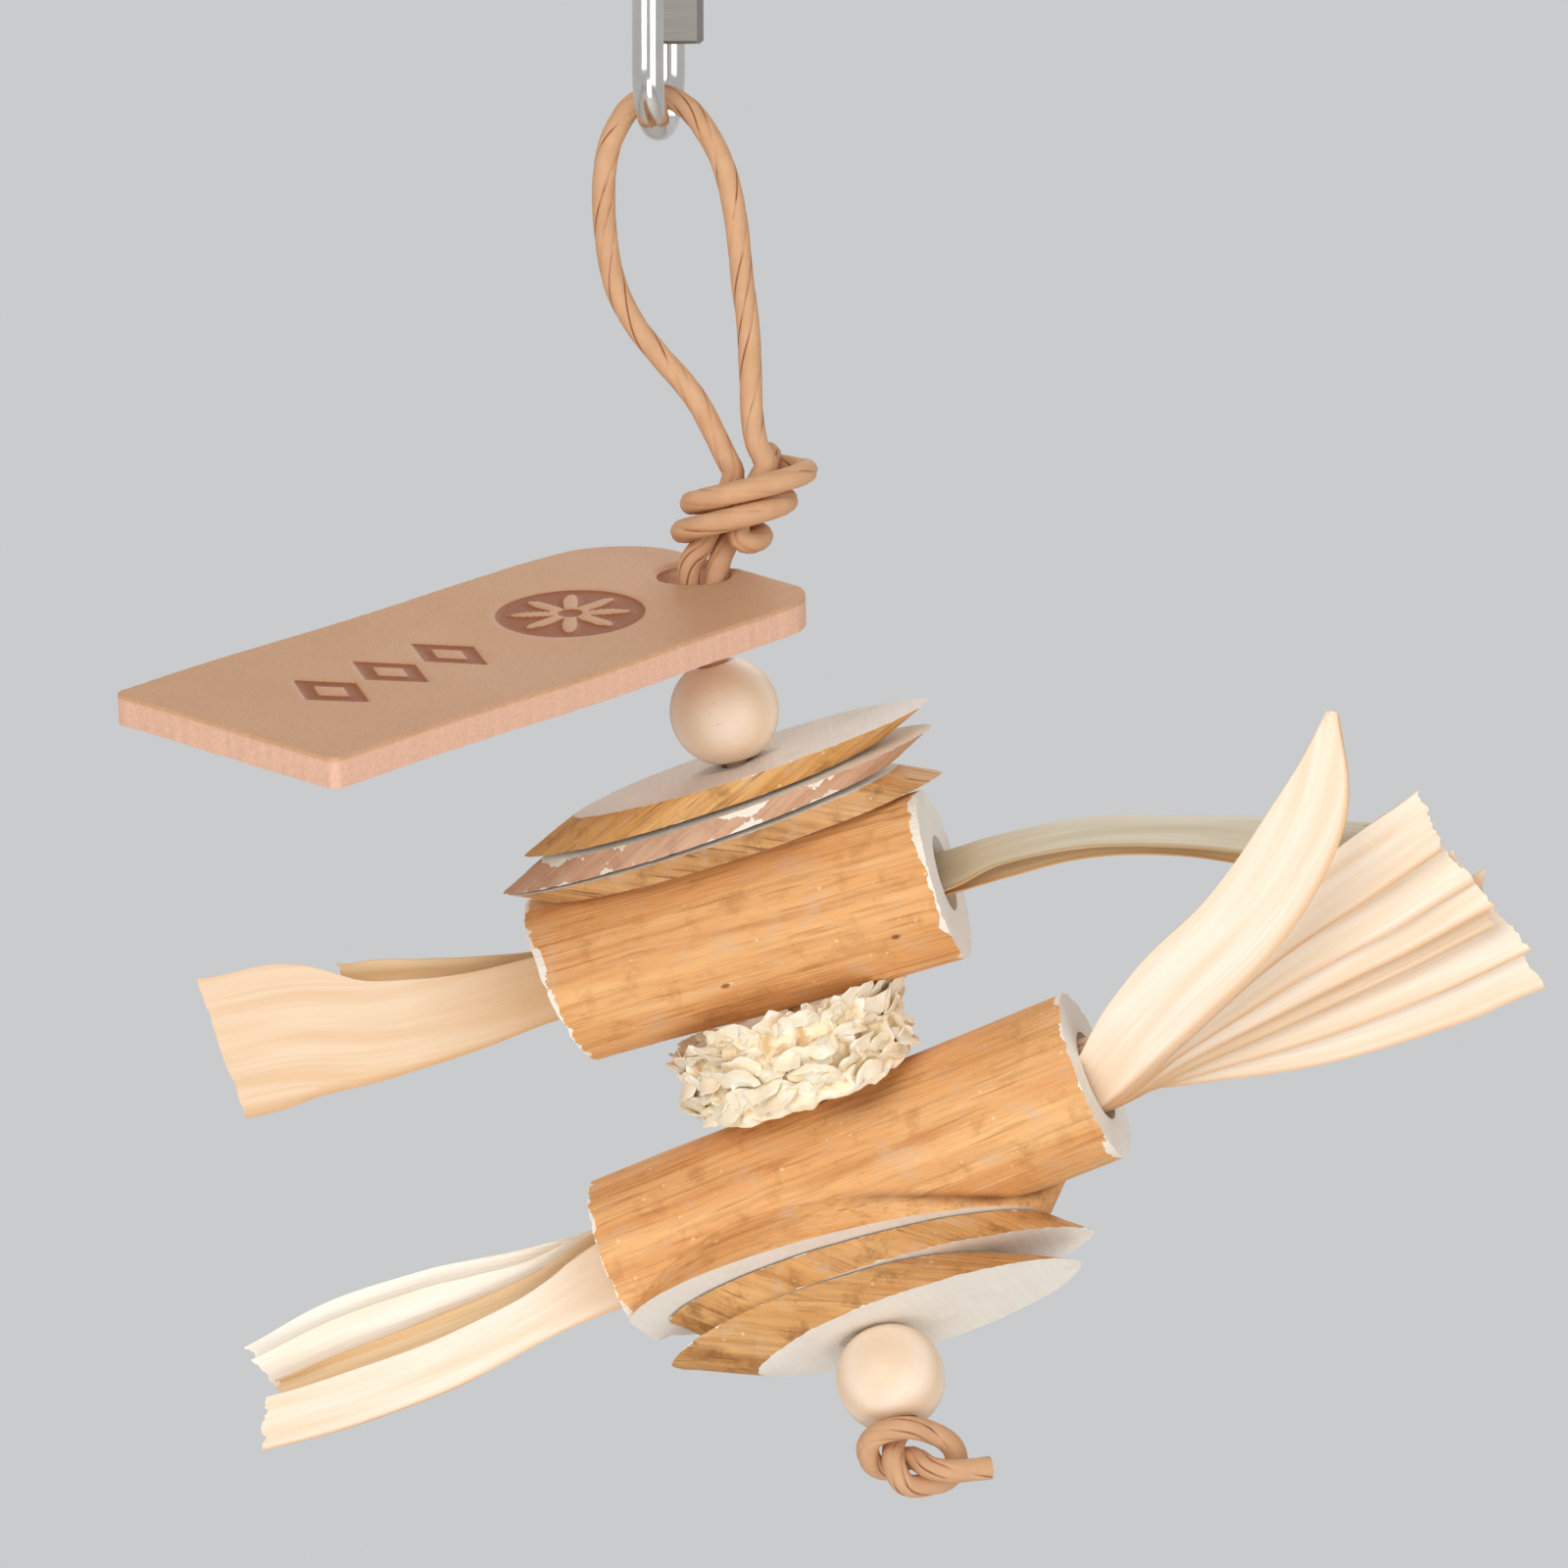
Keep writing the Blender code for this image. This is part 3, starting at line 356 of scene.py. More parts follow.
# Twisted kraft paper: matt tan, smooth between long creases that wind round it.
# The creases are darkened with painted shade, which comes and goes along them.
kraft, shader, node = new_finish("twisted_kraft_paper", 0.72)
at = node("TexCoord", out="Object")
around = node("SeparateXYZ", {"Vector": node("UVMap", uv_map="UVMap")}, "Y")
# Painted shade: a dark line along each crease, faded in and out by noise.
crease = None
for place, _ in CREASES:
    away = node("Math", {0: around, 1: place}, operation="SUBTRACT")
    away = node("Math", {0: away}, operation="ABSOLUTE")
    line = node("MapRange", {"Value": away, "From Min": CREASE_WIDTH, "From Max": CREASE_DARK})
    crease = line if crease is None else node("Math", {0: crease, 1: line}, operation="MAXIMUM")
come_and_go = node("TexNoise", {"Vector": at, "Scale": 1 / (7.0 * MM), "Detail": 2.0})
come_and_go = node("MapRange", {"Value": come_and_go, "From Min": 0.43, "From Max": 0.6, "To Max": 0.95})
crease = node("Math", {0: crease, 1: come_and_go}, operation="MULTIPLY")
mottle = node("TexNoise", {"Vector": at, "Scale": 1 / (3.0 * MM), "Detail": 5.0})
fibre = node("TexNoise", {"Vector": at, "Scale": 1 / (0.35 * MM), "Detail": 3.0})
tan = node("Mix", {0: mottle, 6: linear("C2926A"), 7: linear("DFB088")}, 2, data_type="RGBA")
tan = node("Mix", {0: crease, 6: tan, 7: linear("844826")}, 2, data_type="RGBA")
feed(shader, tan, fibre, 0.05 * MM)

paper_cord = twisted_cord("paper_cord_twist", long_strand + core + loop + wraps + hitch)
paper_cord.data.materials.append(kraft)
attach(paper_cord, "string")
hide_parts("paper_cord")


# Leather tag
# A strip of 4 mm vegetable-tanned leather, cut with raw edges and punched for the cord.
# A plain medallion and a row of lozenges are stamped in it hot, which burnishes them brown.

TAG_LENGTH = 88.3 * MM
TAG_WIDTH = 40.0 * MM
TAG_THICKNESS = 4.0 * MM
TAG_HOLE = 9.6 * MM
TAG_HOLE_INSET = 7.2 * MM
TAG_ROUND_HOLE_END = 10.5 * MM
TAG_ROUND_NEAR_CORNER = 6.0 * MM
TAG_ROUND_FREE_END = 1.5 * MM
TAG_END_SKEW = 4.1 * MM
TAG_EDGE = 0.7 * MM
TAG_CURL_FAR = -1.2 * MM
TAG_CURL_NEAR = 0.9 * MM
TAG_CURL_REACH = 22.0 * MM
TAG_BUCKLE = 0.35 * MM
TAG_BUCKLE_SIZE = 26.0 * MM
TAG_FUZZ = 0.16
TAG_FUZZ_SIZE = 0.9 * MM
TAG_RAW = 0.4 * MM
TAG_YAW = math.radians(-135.5)
TAG_PITCH = math.radians(10.7)
TAG_ROLL = math.radians(-8.3)
HOLE_PRESS = 0.5 * MM
HOLE_PRESS_WIDTH = 0.9 * MM
STAMP_DEPTH = 0.3 * MM
STAMP_SLOPE = 0.8 * MM
MEDALLION_AT = Vector((22.0, 0.0)) * MM
MEDALLION_RADIUS = 9.5 * MM
MEDALLION_HUB = 1.6 * MM
MEDALLION_PETALS = 8
LOZENGES_AT = (43.0 * MM, 53.0 * MM, 63.0 * MM)
LOZENGE_HALF = Vector((4.2, 7.0)) * MM
LOZENGE_LINE = 1.9 * MM
BIT_ROLL = math.radians(2.3)


def apply_modifier(piece, kind, **settings):
    """Adds a modifier to the piece and applies it."""
    pick(piece)
    added = piece.modifiers.new(kind.lower(), kind)
    for setting, value in settings.items():
        setattr(added, setting, value)
    bpy.ops.object.modifier_apply(modifier=added.name)


def combine(piece, tool, operation):
    """Joins the tool to the piece or cuts it away, and removes the tool."""
    apply_modifier(piece, "BOOLEAN", object=tool, operation=operation, solver="EXACT")
    bpy.data.objects.remove(tool)


def drill(piece, start, end, diameter, sides=40):
    """Drills a round hole between two points. Its wall takes the piece's second finish, if there is one."""
    axis = end - start
    turned = axis.to_track_quat("Z", "Y").to_matrix() @ Matrix.Rotation(BIT_ROLL, 3, "Z")
    bit = begin(
        "cylinder",
        "drill_bit",
        vertices=sides,
        radius=diameter / 2,
        depth=axis.length,
        location=(start + end) / 2,
        rotation=turned.to_euler(),
    )
    for face in bit.data.polygons:
        face.material_index = len(piece.data.materials) - 1
    combine(piece, bit, "DIFFERENCE")


def close_seams(piece):
    """Merges what a cut left doubled, and fills its pinholes."""
    pick(piece)
    edit_all()
    bpy.ops.mesh.remove_doubles(threshold=WELD)
    bpy.ops.mesh.select_all(action="SELECT")
    bpy.ops.mesh.fill_holes(sides=0)
    end_edit()


def keep_grain(piece, values, name="grain"):
    """Keeps a value for each point, which the finishes read as an attribute."""
    kind, field = ("FLOAT_VECTOR", "vector") if isinstance(values[0], Vector) else ("FLOAT", "value")
    kept = piece.data.attributes.new(name, kind, "POINT")
    for entry, value in zip(kept.data, values):
        setattr(entry, field, value)


def share(value):
    """The value, held between 0 and 1."""
    return min(1.0, max(0.0, value))


def stamp_distance(x, y):
    """How far a point of the tag lies outside the stamped shapes; less than nothing is inside."""
    place = Vector((x, y)) - MEDALLION_AT
    ring = place.length - MEDALLION_RADIUS
    petals = MEDALLION_RADIUS * (0.5 + 0.3 * math.cos(MEDALLION_PETALS * math.atan2(place.y, place.x)))
    star = place.length - petals
    found = min(max(ring, -star), place.length - MEDALLION_HUB)
    for middle in LOZENGES_AT:
        slant = abs(x - middle) / LOZENGE_HALF.x + abs(y) / LOZENGE_HALF.y - 1
        outer = slant * LOZENGE_HALF.x * 0.85
        found = min(found, max(outer, -(outer + LOZENGE_LINE)))
    return found


tag = begin("grid", "leather_tag_strip", x_subdivisions=160, y_subdivisions=74, size=1)
edit_all()
bpy.ops.transform.resize(value=(TAG_LENGTH, TAG_WIDTH, 1))
bpy.ops.transform.translate(value=(TAG_LENGTH / 2 - TAG_HOLE_INSET, 0, 0))
end_edit()
for point in tag.data.vertices:
    hole_end = point.co.x < TAG_LENGTH / 2
    hole_corner = TAG_ROUND_NEAR_CORNER if point.co.y > 0 else TAG_ROUND_HOLE_END
    radius = hole_corner if hole_end else TAG_ROUND_FREE_END
    end = -TAG_HOLE_INSET if hole_end else TAG_LENGTH - TAG_HOLE_INSET
    x_in = radius - abs(point.co.x - end)
    y_in = abs(point.co.y) - (TAG_WIDTH / 2 - radius)
    if x_in > 0 and y_in > 0:
        a, b = x_in / radius, y_in / radius
        x_round = radius * a * math.sqrt(1 - b * b / 2) - x_in
        y_round = radius * b * math.sqrt(1 - a * a / 2) - y_in
        point.co.x -= x_round if hole_end else -x_round
        point.co.y += y_round if point.co.y > 0 else -y_round
    skew = max(0.0, 1 - (point.co.x + TAG_HOLE_INSET) / (TAG_LENGTH / 2)) * (0.5 + point.co.y / TAG_WIDTH)
    point.co.x += TAG_END_SKEW * skew
apply_modifier(tag, "SOLIDIFY", thickness=TAG_THICKNESS, offset=-1.0)
apply_modifier(tag, "BEVEL", width=TAG_EDGE, segments=4, limit_method="ANGLE", angle_limit=math.radians(60))
drill(tag, Vector((0, 0, -2 * TAG_THICKNESS)), Vector((0, 0, TAG_THICKNESS)), TAG_HOLE, 64)
close_seams(tag)
tag_grain = [point.co.copy() for point in tag.data.vertices]
keep_grain(tag, tag_grain)
keep_grain(tag, [stamp_distance(co.x, co.y) for co in tag_grain], "stamp")
for point in tag.data.vertices:
    x, y, z = point.co
    if z > -STAMP_DEPTH:
        point.co.z -= STAMP_DEPTH * share(0.5 - stamp_distance(x, y) / STAMP_SLOPE)
        point.co.z -= HOLE_PRESS * max(0.0, 1 - abs(math.hypot(x, y) - TAG_HOLE / 2) / HOLE_PRESS_WIDTH)
    fuzz = noise.noise(Vector((x, y, z)) / TAG_FUZZ_SIZE) * TAG_FUZZ * MM
    if abs(y) > TAG_WIDTH / 2 - TAG_RAW:
        point.co.y += fuzz
    end = TAG_END_SKEW * (0.5 + y / TAG_WIDTH) - TAG_HOLE_INSET
    if x < end + TAG_RAW or x > TAG_LENGTH - TAG_HOLE_INSET - TAG_RAW:
        point.co.x += fuzz
    curl = max(0.0, 1 - (x + TAG_HOLE_INSET) / TAG_CURL_REACH) ** 2
    point.co.z += (TAG_CURL_FAR if y < 0 else TAG_CURL_NEAR) * curl * (y / (TAG_WIDTH / 2)) ** 2
    point.co.z += TAG_BUCKLE * noise.noise(Vector((x, y, 0)) / TAG_BUCKLE_SIZE)
tag_place = Matrix.Translation(next(j for j in frame["joints"] if j["name"] == "tag_turn")["pos_m"])
tag_place = tag_place @ Matrix.Rotation(TAG_YAW, 4, "Z") @ Matrix.Rotation(TAG_PITCH, 4, "Y")
tag.data.transform(tag_place @ Matrix.Rotation(TAG_ROLL, 4, "X"))
bpy.ops.object.shade_smooth_by_angle(angle=math.radians(50))

# Vegetable-tanned leather: matt natural tan with fine pores and soft blotches, a pink fibrous cut edge and
# flesh side, and the stamped shapes burnished to a darker, smoother brown.
leather, shader, node = new_finish("vegetable_tanned_leather", 0.55, specular=0.1)
grain = node("Attribute", out="Vector", attribute_name="grain")
depth = node("SeparateXYZ", {"Vector": grain}, "Z")
edge = node("MapRange", {"Value": depth, "From Min": -0.35 * MM, "From Max": -0.8 * MM})
stamp = node("Attribute", out="Fac", attribute_name="stamp")
stamp = node("MapRange", {"Value": stamp, "From Min": 0.12 * MM, "From Max": -0.12 * MM})
face = node("Math", {0: 1.0, 1: edge}, operation="SUBTRACT")
stamp = node("Math", {0: stamp, 1: face}, operation="MULTIPLY")
blotch = node("TexNoise", {"Vector": grain, "Scale": 1 / (14 * MM), "Detail": 6.0, "Roughness": 0.6})
pores = node("TexVoronoi", {"Vector": grain, "Scale": 1 / (0.5 * MM)}, feature="DISTANCE_TO_EDGE")
pores = node("MapRange", {"Value": pores, "From Max": 0.12, "To Min": 0.55})
fibres = node("TexNoise", {"Vector": grain, "Scale": 1 / (0.5 * MM), "Detail": 6.0, "Roughness": 0.7})
tan = node("Mix", {0: blotch, 6: linear("CB9A76"), 7: linear("DAAC88")}, 2, data_type="RGBA")
tan = node("Mix", {0: pores, 6: linear("BD8B66"), 7: tan}, 2, data_type="RGBA")
flesh = node("Mix", {0: fibres, 6: linear("CE9476"), 7: linear("F6D2BC")}, 2, data_type="RGBA")
burnt = node("Mix", {0: fibres, 6: linear("8C4C28"), 7: linear("A6653C")}, 2, data_type="RGBA")
tan = node("Mix", {0: stamp, 6: tan, 7: burnt}, 2, data_type="RGBA")
tan = node("Mix", {0: edge, 6: tan, 7: flesh}, 2, data_type="RGBA")
relief = node("Mix", {0: edge, 2: pores, 3: fibres}, data_type="FLOAT")
sheen = node("MapRange", {"Value": edge, "To Min": 0.5, "To Max": 0.9})
feed(shader, tan, relief, 0.05 * MM, sheen)
tag.data.materials.append(leather)
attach(tag, "tag")
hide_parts("leather_tag")


# Beads
# Balls turned from pale hardwood, flat at both ends of the bore and left unvarnished.
# One rides under the tag, and the other is held up by the lower knot.

BEAD_RADIUS = 7.0 * MM
BEAD_HALF_HEIGHT = 6.2 * MM
BEAD_BORE = 4.2 * MM
BEAD_RIM = 0.35 * MM


def bead(name, joint, shift):
    """A turned bead on its joint. The shift moves its grain, so that no two beads look alike."""
    made = begin("uv_sphere", name, segments=72, ring_count=48, radius=BEAD_RADIUS)
    bpy.ops.object.mode_set(mode="EDIT")
    for side in (1, -1):
        bpy.ops.mesh.select_all(action="SELECT")
        bpy.ops.mesh.bisect(
            plane_co=(0, 0, side * BEAD_HALF_HEIGHT), plane_no=(0, 0, side), use_fill=True, clear_outer=True
        )
    end_edit()
    drill(made, Vector((0, 0, -2 * BEAD_RADIUS)), Vector((0, 0, 2 * BEAD_RADIUS)), BEAD_BORE, 72)
    sharp = math.radians(35)
    apply_modifier(made, "BEVEL", width=BEAD_RIM, segments=3, limit_method="ANGLE", angle_limit=sharp)
    keep_grain(made, [point.co + shift for point in made.data.vertices])
    made.data.transform(seat_of(joint))
    bpy.ops.object.shade_smooth_by_angle(angle=math.radians(40))
    made.data.materials.append(bead_wood)
    return made


def streaky(node, vector, along, across, detail):
    """Noise drawn out along X, in streaks about this long and this wide."""
    drawn = node("Mapping", {"Vector": vector, "Scale": (1 / along, 1 / across, 1 / across)})
    return node("TexNoise", {"Vector": drawn, "Scale": 1.0, "Detail": detail})


# Turned pale hardwood: cream with faint warm growth rings and short pore flecks, satin from sanding.
bead_wood, shader, node = new_finish("turned_pale_hardwood", 0.42)
grain = node("Attribute", out="Vector", attribute_name="grain")
wander = node("TexNoise", {"Vector": grain, "Scale": 1 / (6 * MM), "Detail": 3.0}, "Color")
wander = node("Mix", {0: 1.2 * MM, 4: grain, 5: wander}, 1, data_type="VECTOR")
ring_scale = 1 / (2.2 * MM) / (2 * math.pi)
rings = {"Vector": wander, "Scale": ring_scale, "Distortion": 1.5, "Detail": 2.0}
rings = node("TexWave", rings, bands_direction="Y")
flecks = streaky(node, grain, 3 * MM, 0.3 * MM, 3.0)
cream = node("Mix", {0: rings, 6: linear("EDD0B1"), 7: linear("F7E1CA")}, 2, data_type="RGBA")
fleck = node("MapRange", {"Value": flecks, "From Min": 0.62, "From Max": 0.75, "To Max": 0.35})
cream = node("Mix", {0: fleck, 6: cream, 7: linear("CFA273")}, 2, data_type="RGBA")
feed(shader, cream, flecks, 0.02 * MM)

top_bead = bead("top_bead_turned", "top_bead_turn", Vector((0, 0, 0)))
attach(top_bead, "top_bead")
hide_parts("top_bead")


# Upper bark slices
# Three oval slices sawn slantwise from a branch: a rim of bark round bare white pith.
# Each is drilled through its middle and turns on the cord.

SLICE_HOLE = 4.2 * MM
SLICE_POINT = 0.22
SLICE_WAVE = 0.35
SLICE_WAVE_SIZE = 7.0 * MM
SLICE_FRAY = 0.16
SLICE_FRAY_SIZE = 1.1 * MM
SLICE_CHIP = 0.12 * MM
SLICE_SAW = 0.06 * MM
SLICE_SAW_SIZE = 5.0 * MM
BARE_PITH = "F1E8DA"


def select(piece, kind, wanted):
    """Goes to edit mode with only the wanted points, edges or faces selected."""
    bpy.ops.object.mode_set(mode="EDIT")
    bpy.ops.mesh.select_mode(type=kind)
    bpy.ops.mesh.select_all(action="DESELECT")
    end_edit()
    mesh = piece.data
    for element in {"VERT": mesh.vertices, "EDGE": mesh.edges, "FACE": mesh.polygons}[kind]:
        element.select = wanted(element)
    bpy.ops.object.mode_set(mode="EDIT")


def bark_slice(letter, yaw, length, width, thick, slant, off, bark, shift):
    """An oval slice, in millimetres, whose lower face is slid along by the slant of the cut."""
    name = f"bark_slice_{letter}_sawn"
    made = begin("cylinder", name, vertices=120, radius=0.5, depth=1.0, end_fill_type="TRIFAN")
    made.data.materials.append(bark)
    made.data.materials.append(pith)
    for face in made.data.polygons:
        face.material_index = 1 if abs(face.normal.z) > 0.5 else 0
    edit_all()
    bpy.ops.transform.resize(value=(length * MM, width * MM, thick * MM))
    end_edit()
    half_length, half_width, half = length * MM / 2, width * MM / 2, thick * MM / 2
    for point in made.data.vertices:
        point.co.y *= (abs(point.co.y) / half_width) ** SLICE_POINT
    edit_all()
    bpy.ops.transform.translate(value=((off - slant / 2) * MM, 0, 0))
    end_edit()
    select(made, "VERT", lambda point: point.co.z < 0)
    bpy.ops.transform.translate(value=(slant * MM, 0, 0))
    bpy.ops.mesh.select_all(action="SELECT")
    bpy.ops.mesh.subdivide(number_cuts=5)
    end_edit()
    along = Vector((slant, 0, -thick)).normalized()
    across = along.cross(Vector((0, 1, 0)))
    places = [point.co.copy() for point in made.data.vertices]
    keep_grain(made, [Vector((co.dot(along), co.y, co.dot(across))) + shift for co in places])
    keep_grain(made, [half - abs(co.z) for co in places], "to_edge")
    spot = shift * 50
    for point, co in zip(made.data.vertices, places):
        middle = Vector((off * MM - slant * MM * co.z / (thick * MM), 0, co.z))
        outward = co - middle
        rim = abs(outward.x / half_length) ** 2 + abs(outward.y / half_width) ** (2 / (1 + SLICE_POINT))
        on_face = abs(co.z) > half * 0.99
        if rim > 0.9:
            coarse = noise.noise(co / SLICE_WAVE_SIZE + spot)
            fine = noise.noise(co / SLICE_FRAY_SIZE + spot)
            point.co += outward.normalized() * (SLICE_WAVE * coarse + SLICE_FRAY * fine) * MM
            if on_face:
                point.co.z -= math.copysign(SLICE_CHIP * max(0.0, fine), co.z)
        elif on_face:
            point.co.z += SLICE_SAW * noise.noise(co / SLICE_SAW_SIZE + spot)
    reach = Vector((0, 0, thick * MM))
    drill(made, -reach, reach, SLICE_HOLE, 32)
    made.data.transform(seat_of(f"slice_{letter}_turn", yaw))
    bpy.ops.object.shade_smooth_by_angle(angle=math.radians(35))
    return made


def bark_finish(name, pale, middle, dark, chip, mottle, crack, whole=0.54):
    """Dry bark: soft streaks along the branch, cracks, mottling and specks, bare pith at chips, and painted
    shade.
    """
    made, shader, node = new_finish(name, 0.6, specular=0.25)
    grain = node("Attribute", out="Vector", attribute_name="grain")
    to_edge = node("Attribute", out="Fac", attribute_name="to_edge")
    crease = node("Attribute", out="Fac", attribute_name="crease")
    waver = node("TexNoise", {"Vector": grain, "Scale": 1 / (9 * MM), "Detail": 2.0}, "Color")
    bent = node("Mix", {0: 0.7 * MM, 4: grain, 5: waver}, 1, data_type="VECTOR")
    streaks = streaky(node, bent, 34 * MM, 3 * MM, 3.0)
    grooves = streaky(node, bent, 40 * MM, 1 * MM, 2.0)
    fibres = streaky(node, grain, 6 * MM, 0.45 * MM, 3.0)
    cracks = streaky(node, bent, 12 * MM, 0.5 * MM, 1.0)
    blotches = node("TexNoise", {"Vector": bent, "Scale": 1 / (5 * MM), "Detail": 6.0, "Roughness": 0.68})
    specks = node("Mapping", {"Vector": bent, "Scale": (1 / (13 * MM), 1 / (8 * MM), 1 / (8 * MM))})
    specks = node("TexVoronoi", {"Vector": specks, "Scale": 1.0})
    pores = node("TexVoronoi", {"Vector": bent, "Scale": 1 / (2.8 * MM)})
    streak = node("MapRange", {"Value": streaks, "From Min": 0.34, "From Max": 0.66})
    colour = node("Mix", {0: streak, 6: linear(middle), 7: linear(pale)}, 2, data_type="RGBA")
    for pattern, start, end, most, shade in (
        (grooves, 0.52, 0.72, 0.3, dark),
        (fibres, 0.5, 0.7, 0.22, dark),
        (cracks, 0.62, 0.72, crack, dark),
        (blotches, 0.53, 0.68, mottle, dark),
        (blotches, 0.46, 0.32, 0.5, "D3B498"),
        (pores, 0.11, 0.06, 0.5, "F4DDB8"),
        (specks, 0.06, 0.035, 0.75, "5C3418"),
        # painted shade carried by the piece: the lower stick's crease line and the shadow under the cob
        (crease, 0.0, 1.0, 0.85, "6A3D1C"),
    ):
        much = node("MapRange", {"Value": pattern, "From Min": start, "From Max": end, "To Max": most})
        colour = node("Mix", {0: much, 6: colour, 7: linear(shade)}, 2, data_type="RGBA")
    patch = (1.2 + 3 * chip) * MM
    ragged = node("TexNoise", {"Vector": grain, "Scale": 1 / patch, "Detail": 4.0, "Roughness": 0.6})
    chipped = {"From Min": whole, "From Max": whole + 0.22, "To Max": chip * MM}
    ragged = node("MapRange", {"Value": ragged, **chipped})
    bare = node("Math", {0: ragged, 1: to_edge}, operation="SUBTRACT")
    bare = node("MapRange", {"Value": bare, "From Min": 0.0, "From Max": 0.05 * MM})
    colour = node("Mix", {0: bare, 6: colour, 7: linear(BARE_PITH)}, 2, data_type="RGBA")
    relief = node("Mix", {0: 0.4, 2: grooves, 3: fibres}, data_type="FLOAT")
    feed(shader, colour, relief, 0.26 * MM)
    return made


# Sawn pith: chalky white foam-like core with faint saw lines and a few grey-brown stains.
pith, shader, node = new_finish("sawn_white_pith", 0.7, specular=0.2)
grain = node("Attribute", out="Vector", attribute_name="grain")
saw = streaky(node, grain, 0.6 * MM, 9 * MM, 3.0)
dark_patch = node("TexNoise", {"Vector": grain, "Scale": 1 / (7 * MM), "Detail": 6.0, "Roughness": 0.65})
dark_patch = node("MapRange", {"Value": dark_patch, "From Min": 0.55, "From Max": 0.8, "To Max": 0.5})
white = node("Mix", {0: saw, 6: linear("EAE1D6"), 7: linear("F7F1E9")}, 2, data_type="RGBA")
white = node("Mix", {0: dark_patch, 6: white, 7: linear("D6C6B2")}, 2, data_type="RGBA")
feed(shader, white, saw, 0.08 * MM)

golden_bark = bark_finish("golden_branch_bark", "E9B676", "D39650", "865425", 0.2, 0.55, 0.6)
pink_bark = bark_finish("peeled_pink_inner_bark", "DDB59A", "CA9A78", "A27250", 1.8, 0.4, 0.2)
brown_bark = bark_finish("weathered_brown_bark", "DBAA74", "C48E56", "7E5029", 0.15, 0.6, 0.75)

SLICE_A = {"length": 48.0, "width": 20.0, "thick": 3.0, "slant": -7.5, "off": -1.7}
SLICE_B = {"length": 53.0, "width": 21.0, "thick": 2.6, "slant": -5.8, "off": -3.9}
SLICE_C = {"length": 52.8, "width": 21.0, "thick": 2.7, "slant": 5.0, "off": -3.8}
UPPER_SLICES = (("a", SLICE_A, golden_bark), ("b", SLICE_B, pink_bark), ("c", SLICE_C, brown_bark))

for i, (letter, sizes, bark) in enumerate(UPPER_SLICES):
    shift = Vector((0.11, 0.07, 0.05)) * (i + 1) + Vector((0.019, 0.0, -0.0086))
    cut = bark_slice(letter, 0.0, **sizes, bark=bark, shift=shift)
    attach(cut, f"slice_{letter}")
    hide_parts(f"bark_slice_{letter}")


# Upper stick
# A length of the same branch with its bark on, sawn square and drilled from both ends for the husks.
# The cord passes across it.

STICK_DIAMETER = 22.2 * MM
STICK_RIM = 0.8 * MM
STICK_SKIN = 0.3 * MM
STICK_WAVE = 0.3
STICK_RIDGE = 0.1
STICK_CHIP = 0.75
UPPER_LENGTH = 53.3 * MM
UPPER_OFF = -4.1 * MM
UPPER_YAW = -9.0
UPPER_END_SLANT = 3.2 * MM
UPPER_BORE = 10.0 * MM
UPPER_BORE_DEPTH = 17.0 * MM
CORD_HOLE = 5.6 * MM


def edge_run(piece, edge):
    """The way from one end of an edge to the other."""
    start, end = (piece.data.vertices[i].co for i in edge.vertices)
    return end - start


def bark_stick(name, length, off, shift, slant=0.0):
    """A stick along X, with chipped rims and a slightly uneven round. Its left end may be cut aslant."""
    made = begin(
        "cylinder",
        name,
        vertices=144,
        radius=STICK_DIAMETER / 2,
        depth=length,
        location=(off, 0, 0),
        rotation=(0, math.radians(90), 0),
        end_fill_type="TRIFAN",
    )
    bpy.ops.object.transform_apply(location=True, rotation=True, scale=True)
    made.data.materials.append(stick_bark)
    made.data.materials.append(pith)
    for face in made.data.polygons:
        face.material_index = 1 if abs(face.normal.x) > 0.5 else 0
    select(made, "FACE", lambda face: face.material_index == 1)
    bpy.ops.mesh.inset(thickness=STICK_RIM, use_boundary=True)
    select(made, "EDGE", lambda edge: abs(edge_run(made, edge).x) > length / 2)
    bpy.ops.mesh.subdivide(number_cuts=70)
    end_edit()
    spot = shift * 40
    for point in made.data.vertices:
        co = point.co.copy()
        outward = Vector((0, co.y, co.z))
        point.co.x += slant * max(0.0, (off - co.x) / (length / 2)) ** 3 * (0.5 - co.z / STICK_DIAMETER)
        if outward.length < STICK_DIAMETER / 2 - STICK_SKIN:
            continue
        wave = noise.noise(Vector((co.x / (26 * MM), co.y / (8 * MM), co.z / (8 * MM))) + spot)
        ridge = noise.noise(Vector((co.x / (14 * MM), co.y / (1.5 * MM), co.z / (1.5 * MM))) + spot)
        point.co += outward.normalized() * (STICK_WAVE * wave + STICK_RIDGE * ridge) * MM
        if abs(abs(co.x - off) - length / 2) < 0.01 * MM:
            chip = noise.noise(co / (1.6 * MM) + spot) + 0.6 * noise.noise(co / (5 * MM) + spot)
            point.co.x -= math.copysign(max(-0.1, min(1.0, chip)) * STICK_CHIP * MM, co.x - off)
    return made


def keep_stick_grain(piece, length, off, shift, slant=0.0):
    keep_grain(piece, [point.co + shift for point in piece.data.vertices])
    to_edge = []
    for point in piece.data.vertices:
        left_end = off - length / 2 + slant * (0.5 - point.co.z / STICK_DIAMETER)
        to_edge.append(min(off + length / 2 - point.co.x, point.co.x - left_end))
    keep_grain(piece, to_edge, "to_edge")


def drill_ends(piece, length, off, bore, depth):
    for side in (-1, 1):
        mouth = off + side * length / 2
        drill(piece, Vector((mouth - side * depth, 0, 0)), Vector((mouth + side * depth, 0, 0)), bore, 48)


stick_bark = bark_finish("stick_branch_bark", "F0BA7E", "E0A063", "9C5E2B", 1.3, 0.35, 0.4, 0.42)

